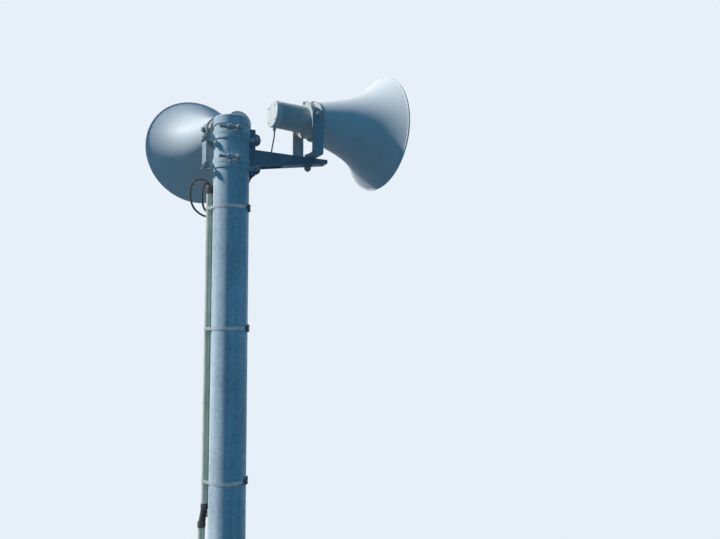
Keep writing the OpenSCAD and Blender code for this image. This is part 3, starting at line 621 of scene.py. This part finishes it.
def lead_point(side, z):
    """The lead's middle at a height, easing over from the arm's hole to the gland."""
    share = (z - LEAD_BEND[0]) / (LEAD_BEND[1] - LEAD_BEND[0])
    share = max(0.0, min(1.0, share))
    share = share * share * (3 - 2 * share)
    hole = arm_frame(side) @ Vector((LEAD_HOLE_X, 0, z))
    gland = horn_frame(side) @ Vector((-GLAND_BACK, 0, 0))
    gland.z = z
    return hole.lerp(gland, share)


def add_lead(side, part, low, high):
    """Half of a lead, between two heights."""
    heights = [low + (high - low) * k / LEAD_STEPS for k in range(LEAD_STEPS + 1)]
    route = [lead_point(side, z) for z in heights]
    lead = made_mesh(drawn_tube(f"{side}_lead_{part}_sheath", route, LEAD_D))
    coated(lead, sheath_rubber)
    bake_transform(lead)
    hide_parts(f"{side}_lead_{part}")


for side in SIDES:
    add_lead(side, "lower", LEAD_LOW, LEAD_MIDDLE)
    add_lead(side, "upper", LEAD_MIDDLE, LEAD_TOP)
print("leads meet at a height of", round(LEAD_MIDDLE, 3))

# %% [markdown]
# ## Bells
#
# The bell is spun sheet: it leaves the throat almost as a cone and flares faster and faster up to a
# bead rolled on its rim. It could be a curve with a Screw modifier. Drawing it as rings that are
# extruded and widened keeps every ring where the flare's formula puts it, and a Solidify modifier
# then gives the sheet its thickness, inwards from the outside that was drawn.

# %% The bells
MOUTH_X = 0.424
MOUTH_R = 0.306
RIM_R = 0.005
BELL_START_X = 0.045
BELL_START_R = 0.0976
BELL_TAPER = 0.28
BELL_POWER = 4.05
BELL_LENGTH = MOUTH_X - RIM_R - BELL_START_X
BELL_WALL = 0.0025
BELL_RINGS = 56
BELL_SIDES = 144


def bell_radius(x):
    """The bell's outside radius at a distance from the tilt axis."""
    along = x - BELL_START_X
    gain = MOUTH_R - RIM_R - BELL_START_R - BELL_TAPER * BELL_LENGTH
    return BELL_START_R + BELL_TAPER * along + gain * (along / BELL_LENGTH) ** BELL_POWER


def add_bell(side):
    """A bell with its rolled rim."""
    xs = [BELL_START_X + BELL_LENGTH * k / BELL_RINGS for k in range(BELL_RINGS + 1)]
    shell = turned([(x, bell_radius(x)) for x in xs], sides=BELL_SIDES, closed=False)
    wall = shell.modifiers.new("sheet", "SOLIDIFY")
    wall.thickness = BELL_WALL
    wall.offset = -1
    select_only(shell)
    bpy.ops.object.modifier_apply(modifier=wall.name)
    rim = ring(MOUTH_X - RIM_R, MOUTH_R - RIM_R, RIM_R, BELL_SIDES, 20)
    bell = joined(f"{side}_bell_shell", shell, rim)
    bell.matrix_world = horn_frame(side) @ ALONG_X
    bell = joined(bell.name, bell)
    return finished(bell, f"{side}_horn", bell_paint, [f"{side}_bell"])


for side in SIDES:
    bell = add_bell(side)
    print(bell.name, "has", len(bell.data.polygons), "faces")

# %% [markdown]
# ## Bolts and washers
#
# Hexagon bolts hold the bands, the yokes and the horns. A bolt is drawn along +Z, from its head
# through the clamped sheets to its nut, and copies of it are set at every place. The chamfer on a
# head could be a bevel, which would round all of its edges alike. Two stations close to each other,
# the outer one narrower, give the cone that a turned head has. A thread could be a true helix. At
# this size rings of the same pitch look the same and stay closed.

# %% Bolt pieces
WASHER_T = 0.003
BOLT_R = 0.008
BOLT_FLATS = 0.024
BOLT_WASHER_R = 0.015
HEAD_T = 0.010
NUT_T = 0.013


def washer(height, radius, thickness=WASHER_T):
    """A flat washer that starts at a height, its edges broken a little."""
    edge = 0.0004
    return turned([
        (height, radius - edge), (height + edge, radius), (height + thickness - edge, radius),
        (height + thickness, radius - edge),
    ])


def hexagon(height, flats, thickness):
    """A chamfered nut or head that starts at a height, from its width across the flats."""
    corner = flats / math.sqrt(3)
    return turned([
        (height, 0.93 * corner), (height + 0.1 * thickness, corner), (height + 0.86 * thickness, corner),
        (height + thickness, 0.88 * corner),
    ], sides=6)


def threaded(height, radius, length, pitch=0.002):
    """A threaded end that starts at a height, with a chamfered tip."""
    stations = [(height, radius)]
    for k in range(round(length / pitch)):
        stations.append((height + (k + 0.5) * pitch, 0.91 * radius))
        stations.append((height + (k + 1) * pitch, radius))
    stations.append((stations[-1][0] + 0.0012, 0.82 * radius))
    return turned(stations, sides=20)


def through_bolt(near, far, tail):
    """A 16 mm bolt through the sheets between two heights, with its washers, nut and threaded end."""
    return joined(
        "through_bolt",
        hexagon(near - WASHER_T - HEAD_T, BOLT_FLATS, HEAD_T), washer(near - WASHER_T, BOLT_WASHER_R),
        turned([(near - 0.001, BOLT_R), (far + 0.001, BOLT_R)], sides=20),
        washer(far, BOLT_WASHER_R), hexagon(far + WASHER_T, BOLT_FLATS, NUT_T),
        threaded(far + WASHER_T + NUT_T, BOLT_R, tail),
    )


# %% [markdown]
# ### The bands' bolts
#
# Each band is two half straps. Bolts through the arm foot's ears hold their inner ends and a longer
# one behind the pole draws their outer ends together, which is what clamps the arm.

# %% The bands' bolts
EAR_ANGLE = 27
BAND_BOLT_R = 0.1215
BAND_DROPS = {"right": (0.101, 0.239), "left": (0.077, 0.215)}
EAR_SHEETS = (-0.005, 0.004)
EAR_TAIL = 0.012
TENSION_LUGS = (-0.0147, 0.0147)
TENSION_TAIL = 0.036


def add_band_bolts(side):
    """The four ear bolts and two tension bolts of one arm."""
    ears = []
    behind = []
    for drop in BAND_DROPS[side]:
        height = POLE_TOP - drop
        for sign in (1, -1):
            place = shift(BAND_BOLT_R, 0, height) @ turn(-90 * sign, "X")
            ears.append(arm_frame(side) @ turn(sign * EAR_ANGLE, "Z") @ place)
        behind.append(arm_frame(side) @ shift(-BAND_BOLT_R, 0, height) @ turn(-90, "X"))
    short = set_out("ear_bolts", through_bolt(*EAR_SHEETS, EAR_TAIL), ears)
    long = set_out("tension_bolts", through_bolt(*TENSION_LUGS, TENSION_TAIL), behind)
    bolts = joined(f"{side}_band_bolts", short, long)
    return finished(bolts, "root", bolt_zinc_painted_shade)


for side in SIDES:
    print(add_band_bolts(side).name, "set")

# %% [markdown]
# ### Yoke bolts and tilt bolts
#
# A yoke turns on a 20 mm bolt through the arm. The arm's underside slopes, so its nut sits on a
# bevelled square washer. That wedge is a block cut along the arm's slope, which keeps it flush where
# a turned block would leave a gap. A horn tilts on two 16 mm bolts with a spring washer each.

# %% Yoke bolts and tilt bolts
ARM_TOP = POLE_TOP - 0.141
ARM_REACH = 0.390
ARM_UNDER = 0.0355
ARM_SLOPE = 0.1698
YOKE_T = 0.006
YOKE_BOLT_R = 0.010
YOKE_BOLT_FLATS = 0.030
YOKE_NUT_TOP = -0.0414
YOKE_NUT_T = 0.016
WEDGE_SIDE = 0.036
WEDGE_T = 0.018
LEG_OUT = 0.1133


def wedge_washer():
    """A square washer under the arm, cut to the slope of its underside."""
    block_top = -ARM_UNDER + 0.012
    bpy.ops.mesh.primitive_cube_add(
        size=1, location=(0, 0, block_top - WEDGE_T / 2), scale=(WEDGE_SIDE, WEDGE_SIDE, WEDGE_T))
    block = joined("wedge_washer", bpy.context.object)
    bpy.ops.object.mode_set(mode="EDIT")
    bpy.ops.mesh.select_all(action="SELECT")
    bpy.ops.mesh.bisect(
        plane_co=(0, 0, -ARM_UNDER - 0.0002), plane_no=(-ARM_SLOPE, 0, 1), use_fill=True, clear_outer=True)
    bpy.ops.object.mode_set(mode="OBJECT")
    return block


def yoke_bolt():
    """The bolt that a yoke turns on, counted from the arm's flat top."""
    seat = YOKE_T + 0.0006
    return joined(
        "yoke_bolt", washer(seat, 0.0185), hexagon(seat + WASHER_T, YOKE_BOLT_FLATS, 0.0125),
        turned([(YOKE_NUT_TOP, YOKE_BOLT_R), (seat, YOKE_BOLT_R)], sides=24), wedge_washer(),
        hexagon(YOKE_NUT_TOP - YOKE_NUT_T, YOKE_BOLT_FLATS, YOKE_NUT_T),
        threaded(YOKE_NUT_TOP - 0.0225, YOKE_BOLT_R, 0.005, 0.0025),
    )


arm_tips = [arm_frame(side) @ shift(ARM_REACH, 0, ARM_TOP) for side in SIDES]
yoke_bolts = set_out("yoke_bolts", yoke_bolt(), arm_tips)
finished(yoke_bolts, "root", bolt_zinc_painted_shade, ["pan_bolts"])


def tilt_bolt():
    """A tilt bolt's washer, spring washer and head, outwards from the yoke's leg."""
    return joined(
        "tilt_bolt", washer(LEG_OUT, BOLT_WASHER_R, 0.0025), washer(LEG_OUT + 0.0025, 0.0125, 0.0035),
        hexagon(LEG_OUT + 0.006, BOLT_FLATS, HEAD_T),
        turned([(LEG_OUT - 0.007, BOLT_R), (LEG_OUT + 0.001, BOLT_R)], sides=20),
    )


for side in SIDES:
    ends = [horn_frame(side) @ turn(sign * 90, "X") for sign in (1, -1)]
    bolts = set_out(f"{side}_tilt_hardware", tilt_bolt(), ends)
    finished(bolts, f"{side}_horn", bolt_zinc_painted_shade, [f"{side}_tilt_bolts"])
print("yoke and tilt bolts set")

# %% [markdown]
# ### Screws on the horns
#
# Three 8 mm bolts clamp the driver's flange to the throat, three screws hold the bell to its flange,
# and four pan-head screws close the rear cap. The bolts and the bell's screws stand at the top and
# 120 degrees to each side of it. Each kind is drawn once, upright, and copied round the horn's axis.

# %% Screws on the horns
DRIVER_BOLT_R = 0.0895
BELL_SCREW_R = 0.1000
LID_SCREW_R = 0.052
LID_BACK_X = -0.197
LUG_ANGLES = (0, 120, 240)
LID_ANGLES = (45, 135, 225, 315)
SCREW_R = 0.004
SCREW_FLATS = 0.013
SCREW_WASHER = (0.008, 0.0016)


def around_axis(side, angles, radius, x=0.0):
    """Places round a horn's axis with +Z turned forwards along it."""
    return [
        horn_frame(side) @ turn(angle, "X") @ shift(x, 0, radius) @ ALONG_X
        for angle in angles
    ]


def flange_bolt():
    """A bolt through the lugs of driver and throat, with heights counted along the horn's axis."""
    return joined(
        "flange_bolt", hexagon(-0.0255, SCREW_FLATS, 0.0055), washer(-0.0201, *SCREW_WASHER),
        turned([(-0.019, SCREW_R), (0.005, SCREW_R)], sides=16), washer(0.0045, *SCREW_WASHER),
        hexagon(0.0061, SCREW_FLATS, 0.0065), threaded(0.0126, SCREW_R, 0.005, 0.00125),
    )


def pan_screw():
    """A round-headed screw that points to +Z, with its head below the origin."""
    head = turned([
        (-0.0032, 0.0018), (-0.0030, 0.0034), (-0.0022, 0.0047), (-0.0008, 0.0054), (0.0, 0.0056),
    ], sides=24)
    return joined("pan_screw", head, turned([(-0.0034, 0.0026), (0.001, 0.0026)], sides=6))


for side in SIDES:
    clamps = set_out("clamps", flange_bolt(), around_axis(side, LUG_ANGLES, DRIVER_BOLT_R))
    bell_screw = joined("bell_screw", hexagon(0.0219, SCREW_FLATS, 0.0055), washer(0.0274, *SCREW_WASHER))
    bell_screws = set_out("bell_screws", bell_screw, around_axis(side, LUG_ANGLES, BELL_SCREW_R))
    screws = joined(f"{side}_horn_screws", clamps, bell_screws)
    finished(screws, f"{side}_horn", bolt_zinc_painted_shade)
    lid_places = around_axis(side, LID_ANGLES, LID_SCREW_R, LID_BACK_X)
    lid_screws = set_out(f"{side}_lid_screws", pan_screw(), lid_places)
    finished(lid_screws, f"{side}_horn", strap_steel)
print("horn screws set")

# %% [markdown]
# ### Cable glands
#
# Each lead enters its driver through a gland: a hexagon body, and below it a ribbed dome that is
# screwed up to grip the lead. A rubber grommet lines the hole in the arm.

# %% Glands and grommets
GLAND_TOP = -0.0658
GLAND_LOW = -0.0862
GROMMET = (0.0006, 0.0055, 0.0018)


def gland():
    """A gland, with heights counted from the horn's axis."""
    body = hexagon(GLAND_TOP - 0.0085, 0.0165, 0.0085)
    dome = [(GLAND_LOW, 0.0045), (GLAND_LOW + 0.0012, 0.0062), (GLAND_LOW + 0.004, 0.0074)]
    for k in range(3):
        low = GLAND_LOW + 0.0048 + 0.0022 * k
        dome += [(low, 0.0080), (low + 0.0012, 0.0080), (low + 0.0016, 0.0074)]
    return joined("gland", body, turned(dome, sides=28))


for side in SIDES:
    below = horn_frame(side) @ shift(-GLAND_BACK, 0, 0)
    piece = set_out(f"{side}_gland_body", gland(), [below])
    finished(piece, f"{side}_horn", gland_grey, [f"{side}_gland"])
    hole = arm_frame(side) @ shift(LEAD_HOLE_X, 0, ARM_TOP)
    grommet = set_out(f"{side}_lead_grommet", ring(*GROMMET, 32), [hole])
    finished(grommet, "root", fitting_black)
print("glands set")

# %% [markdown]
# ## Conduit fittings
#
# Where the pole widens, a short flexible hose takes the conduit outwards. Its corrugations are drawn
# as stations, a wide and a narrow one in turn, which is quicker than an array of rings and stays in
# one skin. The hose leans from the upper length to the lower one. At the top a cap with two glands
# closes the conduit.

# %% Conduit fittings
CONDUIT_XS = {"upper": 0.1013, "middle": 0.11405, "lower": 0.12685}
COUPLINGS = [("upper", "middle", 10.818), ("middle", "lower", 5.730)]
COUPLING_LEN = 0.078
CAP_Z = POLE_TOP - 0.346


def on_conduit(x, z):
    """Carries a piece from the origin to the conduit's middle at a height."""
    return turn(CONDUIT_ANGLE, "Z") @ shift(x, 0, z)


def corrugated_hose(length):
    """A hose along +Z, ribbed every four millimetres."""
    pitch = 0.004
    stations = [(0.0, 0.0140)]
    for k in range(round(length / pitch)):
        low = k * pitch
        stations += [(low + 0.0010, 0.0153), (low + 0.0022, 0.0153), (low + 0.0032, 0.0138)]
    return turned(stations, sides=36)


def sleeve():
    """A cup sleeve that grips the conduit below the origin and the hose above it."""
    return turned([
        (-0.0130, 0.0164), (-0.0122, 0.0176), (-0.0040, 0.0176), (-0.0034, 0.0183), (-0.0012, 0.0183),
        (-0.0006, 0.0176), (0.0020, 0.0176), (0.0026, 0.0183), (0.0048, 0.0183), (0.0054, 0.0176),
        (0.0118, 0.0176), (0.0130, 0.0160),
    ], sides=36)


def add_coupling(upper, lower, top):
    """One coupling, from the sleeve on the lower length to the one on the upper length."""
    lean = math.degrees(math.atan2(CONDUIT_XS[upper] - CONDUIT_XS[lower], COUPLING_LEN))
    bottom = on_conduit(CONDUIT_XS[lower], top - COUPLING_LEN)
    hose = set_out("hose", corrugated_hose(COUPLING_LEN), [bottom @ turn(lean, "Y")])
    cups = set_out("cups", sleeve(), [bottom, on_conduit(CONDUIT_XS[upper], top) @ turn(180, "X")])
    return joined("coupling", hose, cups)


couplings = joined("conduit_coupling_set", *(add_coupling(*coupling) for coupling in COUPLINGS))
finished(couplings, "root", fitting_black, ["conduit_couplings"])


def entry_cap():
    """The cap on the conduit's upper end, with a gland for each cable."""
    body = turned([
        (-0.0140, 0.0166), (-0.0136, 0.0176), (-0.0060, 0.0176), (-0.0054, 0.0183), (-0.0030, 0.0183),
        (-0.0024, 0.0178), (0.0170, 0.0178), (0.0212, 0.0172), (0.0240, 0.0150), (0.0256, 0.0116),
        (0.0260, 0.0060),
    ], sides=48)
    spout = joined(
        "spout", turned([(0.010, 0.0058), (0.0262, 0.0058)], sides=24), hexagon(0.0150, 0.0125, 0.0048),
        turned([(0.0195, 0.0066), (0.0240, 0.0066), (0.0258, 0.0054)], sides=24),
    )
    spouts = set_out(
        "spouts", spout, [shift(x, 0, 0.013) @ turn(90, "X") for x in (-0.008, 0.008)])
    return joined("entry_cap", body, spouts)


cap = set_out("conduit_cap_body", entry_cap(), [on_conduit(CONDUIT_XS["upper"], CAP_Z)])
finished(cap, "root", fitting_black, ["conduit_entry_cap"])
print("conduit fittings set")

# %% [markdown]
# ### Buckles on the straps
#
# A stainless strap holds the conduit every 0.6 to 0.9 m. Each has a buckle with a screw that draws
# the strap tight. The cover is a block whose edges a Bevel modifier rounds, set over the plain block
# of the construction.

# %% Buckles
BUCKLE_ANGLE = -33
POLE_RADII = {"upper": 0.0826, "middle": 0.09535, "lower": 0.10815}
STRAPS = {
    "upper": [POLE_TOP - drop for drop in (0.431, 0.991, 1.669)],
    "middle": [10.35, 9.50, 8.65, 7.80, 6.95, 6.10],
    "lower": [5.20, 4.30, 3.40, 2.50, 1.60, 0.70],
}


def rounded_block(name, size, centre, radius, segments=3):
    """A block with rounded edges."""
    bpy.ops.mesh.primitive_cube_add(size=1, location=centre, scale=size)
    block = joined(name, bpy.context.object)
    edges = block.modifiers.new("edges", "BEVEL")
    edges.width = radius
    edges.segments = segments
    bpy.ops.object.modifier_apply(modifier=edges.name)
    return block


def buckle():
    """A buckle's cover, its strap loops and its screw, outwards along +X from the pole's surface."""
    cover = rounded_block("cover", (0.0082, 0.0226, 0.0346), (0.0045, 0, 0), 0.0018)
    loops = [
        rounded_block("loop", (0.0022, 0.0250, 0.0030), (0.0084, 0, z), 0.0007, 2)
        for z in (-0.011, 0.011)
    ]
    screw = joined(
        "screw", turned([(0.0105, 0.0045), (0.0195, 0.0045)], sides=20), hexagon(0.0195, 0.0100, 0.0045))
    across = set_out("across", screw, [shift(0.0052, 0, 0) @ turn(90, "X")])
    return joined("buckle", cover, *loops, across)


places = []
for section, heights in STRAPS.items():
    for z in heights:
        places.append(turn(BUCKLE_ANGLE, "Z") @ shift(POLE_RADII[section], 0, z))
buckles = set_out("strap_buckles", buckle(), places)
# The buckles take the almost black zinc, which is painted shade.
finished(buckles, "root", buckle_zinc_painted_shade)
print(len(places), "buckles set")

# %% [markdown]
# ## Step bolts
#
# The steps are 19 mm rods with a thread at the pole, a nut that locks them and a broad end that keeps
# a foot from slipping off. One is modelled and its copies climb the pole on alternate sides.

# %% Step bolts
STEP_COUNT = 20
STEP_TOP = POLE_TOP - 1.906
STEP_PITCH = 0.450
STEP_R = 0.0095
STEP_LEN = 0.245
UPPER_SECTION = 2.1
MIDDLE_FROM = 5.4


def step_bolt():
    """A step bolt along +Z, from the pole's surface."""
    rod = turned([(0.0366, STEP_R), (STEP_LEN, STEP_R)], sides=32)
    end = turned([
        (STEP_LEN, 0.0130), (STEP_LEN + 0.0012, 0.0150), (STEP_LEN + 0.0052, 0.0150),
        (STEP_LEN + 0.0070, 0.0118),
    ])
    return joined(
        "step_bolt", threaded(0.0003, STEP_R, 0.036, 0.0025), washer(0.0090, 0.0190),
        hexagon(0.0120, 0.030, 0.012), rod, end)


def pole_radius(z):
    """The pole's outside radius at a height, away from its shoulders."""
    if z > POLE_TOP - UPPER_SECTION:
        return POLE_RADII["upper"]
    return POLE_RADII["middle" if z > MIDDLE_FROM else "lower"]


places = []
for k in range(STEP_COUNT):
    z = STEP_TOP - STEP_PITCH * k
    places.append(turn(180 * (k % 2), "Z") @ shift(0, pole_radius(z), z) @ turn(-90, "X"))
steps = set_out("step_bolt_set", step_bolt(), places)
finished(steps, "root", bolt_zinc_painted_shade, ["step_bolts"])
print(len(places), "step bolts set")

# %% [markdown]
# ## Welds
#
# Fillet welds join the ribs to the pole and the base plate, the arms to their feet and the pole's
# sections to each other. A weld is a bead with fine ripples across it. Each straight one is a thin
# rod whose radius swells and shrinks from station to station, half sunk in the corner that it fills.
# The ones round the pole are plain rings.

# %% Welds
BASE_T = 0.025
RIB_H = 0.200
RIB_OUT = 0.100
RIB_SIDE = 0.0068
RIB_ROOT_X = 0.1076
RIB_MIDDLE_X = 0.1580
RIB_BEAD_R = 0.004
ARM_ROOT_X = 0.1038
ARM_ROOT_H = 0.084
ARM_SIDE = 0.0302
ARM_W = 0.060
# The rings round the pole: height, radius and thickness
POLE_SEAMS = [(BASE_T + 0.001, 0.1082, 0.0045), (5.4805, 0.0955, 0.0026), (10.5805, 0.0827, 0.0026)]


def bead(length, radius=0.0035, pitch=0.004):
    """A rippled bead along +Z, centred on the origin."""
    count = max(2, round(length / pitch))
    stations = [(-length / 2, 0.5 * radius)]
    for k in range(count):
        low = -length / 2 + length * (k + 0.25) / count
        stations.append((low, radius))
        stations.append((low + 0.5 * length / count, 0.86 * radius))
    stations.append((length / 2, 0.4 * radius))
    return turned(stations, sides=12)


def rib_welds():
    """The beads on both sides of each rib, up the pole and along the base plate."""
    upright = []
    flat = []
    for k in range(8):
        for sign in (1, -1):
            rib = turn(22.5 + 45 * k, "Z")
            aside = sign * RIB_SIDE
            upright.append(rib @ shift(RIB_ROOT_X, aside, BASE_T + RIB_H / 2))
            flat.append(rib @ shift(RIB_MIDDLE_X, aside, BASE_T + 0.0005) @ ALONG_X)
    return [
        set_out("rib_uprights", bead(RIB_H, RIB_BEAD_R), upright),
        set_out("rib_feet", bead(RIB_OUT, RIB_BEAD_R), flat),
    ]


def arm_welds(side):
    """The beads along an arm's root, on the foot's web."""
    down = [
        arm_frame(side) @ shift(ARM_ROOT_X, sign * ARM_SIDE, ARM_TOP - ARM_ROOT_H / 2)
        for sign in (1, -1)
    ]
    across = [arm_frame(side) @ shift(ARM_ROOT_X, 0, ARM_TOP + 0.0002) @ turn(90, "X")]
    return [set_out("arm_root", bead(ARM_ROOT_H), down), set_out("arm_top", bead(ARM_W), across)]


beads = rib_welds()
for side in SIDES:
    beads += arm_welds(side)
beads += [ring(*seam, 120) for seam in POLE_SEAMS]
welds = joined("weld_beads", *beads)
finished(welds, "root", pole_zinc_with_painted_sheen)
print("welds laid")

# %% [markdown]
# ## Floor, backdrop and light
#
# The tower stands on a pale floor that fades into the backdrop, so that no horizon crosses the
# picture. The backdrop is the world's colour, shown to the camera and to glossy and transmitted rays
# at full strength. The world and the floor light the tower much less than that, as an open sky and
# dull ground would, so the lamps set the form: a key from high on the left, and a weak, low fill from
# the far side, which reaches into the horns' mouths.

# %% Floor
BACKDROP = (0.80, 0.87, 0.94)
DULL_GROUND = (0.03, 0.055, 0.075)
FLOOR_RADIUS = 24.0
FADE_START = 4.0
FADE_END = 0.9 * FLOOR_RADIUS


def seen_directly(node):
    """1 for rays that come from the camera, a mirror or glass, and 0 for rays that light things."""
    path = node("LightPath").outputs
    mirror = node("Math", {0: path["Is Camera Ray"], 1: path["Is Glossy Ray"]}, operation="ADD")
    glass = node("Math", {0: mirror.outputs[0], 1: path["Is Transmission Ray"]}, operation="ADD")
    glass.use_clamp = True
    return glass.outputs[0]


def add_floor():
    """A round pale floor at ground level, which fades into the backdrop towards its edge."""
    bpy.ops.object.select_all(action="DESELECT")
    bpy.ops.mesh.primitive_circle_add(vertices=128, radius=FLOOR_RADIUS, fill_type="NGON")
    floor = bpy.context.object
    floor.name = "studio_floor"
    material, node, give = new_finish("studio_floor", roughness=0.9)
    place = object_place(node)
    mottle = cloud(node, place, 0.8, 3.0)
    pale = shaded(node, mottle, (0.3, (0.73, 0.77, 0.80)), (0.7, (0.76, 0.80, 0.83)))
    give("Base Color", node("MixRGB", {0: seen_directly(node), 1: (*DULL_GROUND, 1.0), 2: pale}).outputs[0])
    distance = node("VectorMath", {0: place}, operation="LENGTH").outputs["Value"]
    inputs = {"Value": distance, "From Min": FADE_START, "From Max": FADE_END, "To Min": 0.0, "To Max": 1.0}
    fade = node("MapRange", inputs, interpolation_type="SMOOTHSTEP").outputs["Result"]
    share = node("Math", {0: fade, 1: seen_directly(node)}, operation="MULTIPLY").outputs[0]
    glow = node("Emission", {"Color": (*BACKDROP, 1.0), "Strength": 1.0}).outputs[0]
    nodes = material.node_tree.nodes
    both = node("MixShader", {0: share, 1: nodes["Principled BSDF"].outputs[0], 2: glow}).outputs[0]
    material.node_tree.links.new(both, nodes["Material Output"].inputs["Surface"])
    floor.data.materials.append(material)


add_floor()

# %% World and lamps
WORLD_STRENGTH = 0.26
SKYLIGHT = (0.12, 0.54, 1.0)
# The lamps: azimuth and height in degrees, strength, and apparent width in degrees
KEY = (155.0, 42.0, 3.7, 4)
FILL = (36.0, 8.0, 0.5, 50)


def add_world():
    """The backdrop's colour where it is seen, and a dim sky blue where it only lights things."""
    world = bpy.data.worlds.new("studio")
    world.use_nodes = True
    bpy.context.scene.world = world
    node = partial(add_node, world)
    seen = seen_directly(node)
    colour = node("MixRGB", {0: seen, 1: (*SKYLIGHT, 1.0), 2: (*BACKDROP, 1.0)})
    strength = node("MapRange", {"Value": seen, "To Min": WORLD_STRENGTH, "To Max": 1.0})
    background = world.node_tree.nodes["Background"]
    world.node_tree.links.new(colour.outputs[0], background.inputs["Color"])
    world.node_tree.links.new(strength.outputs["Result"], background.inputs["Strength"])


def add_lamp(name, azimuth, height, strength, softness):
    """A sun lamp that shines from that direction. The wider it is, the softer its shadows are."""
    aim = turn(azimuth - 90, "Z") @ turn(height - 90, "X")
    bpy.ops.object.light_add(type="SUN", location=(0, 0, POLE_TOP + 3), rotation=aim.to_euler())
    lamp = bpy.context.object
    lamp.name = name
    lamp.data.energy = strength
    lamp.data.angle = math.radians(softness)


add_world()
add_lamp("key", *KEY)
add_lamp("fill", *FILL)
bpy.context.scene.view_settings.view_transform = "Standard"
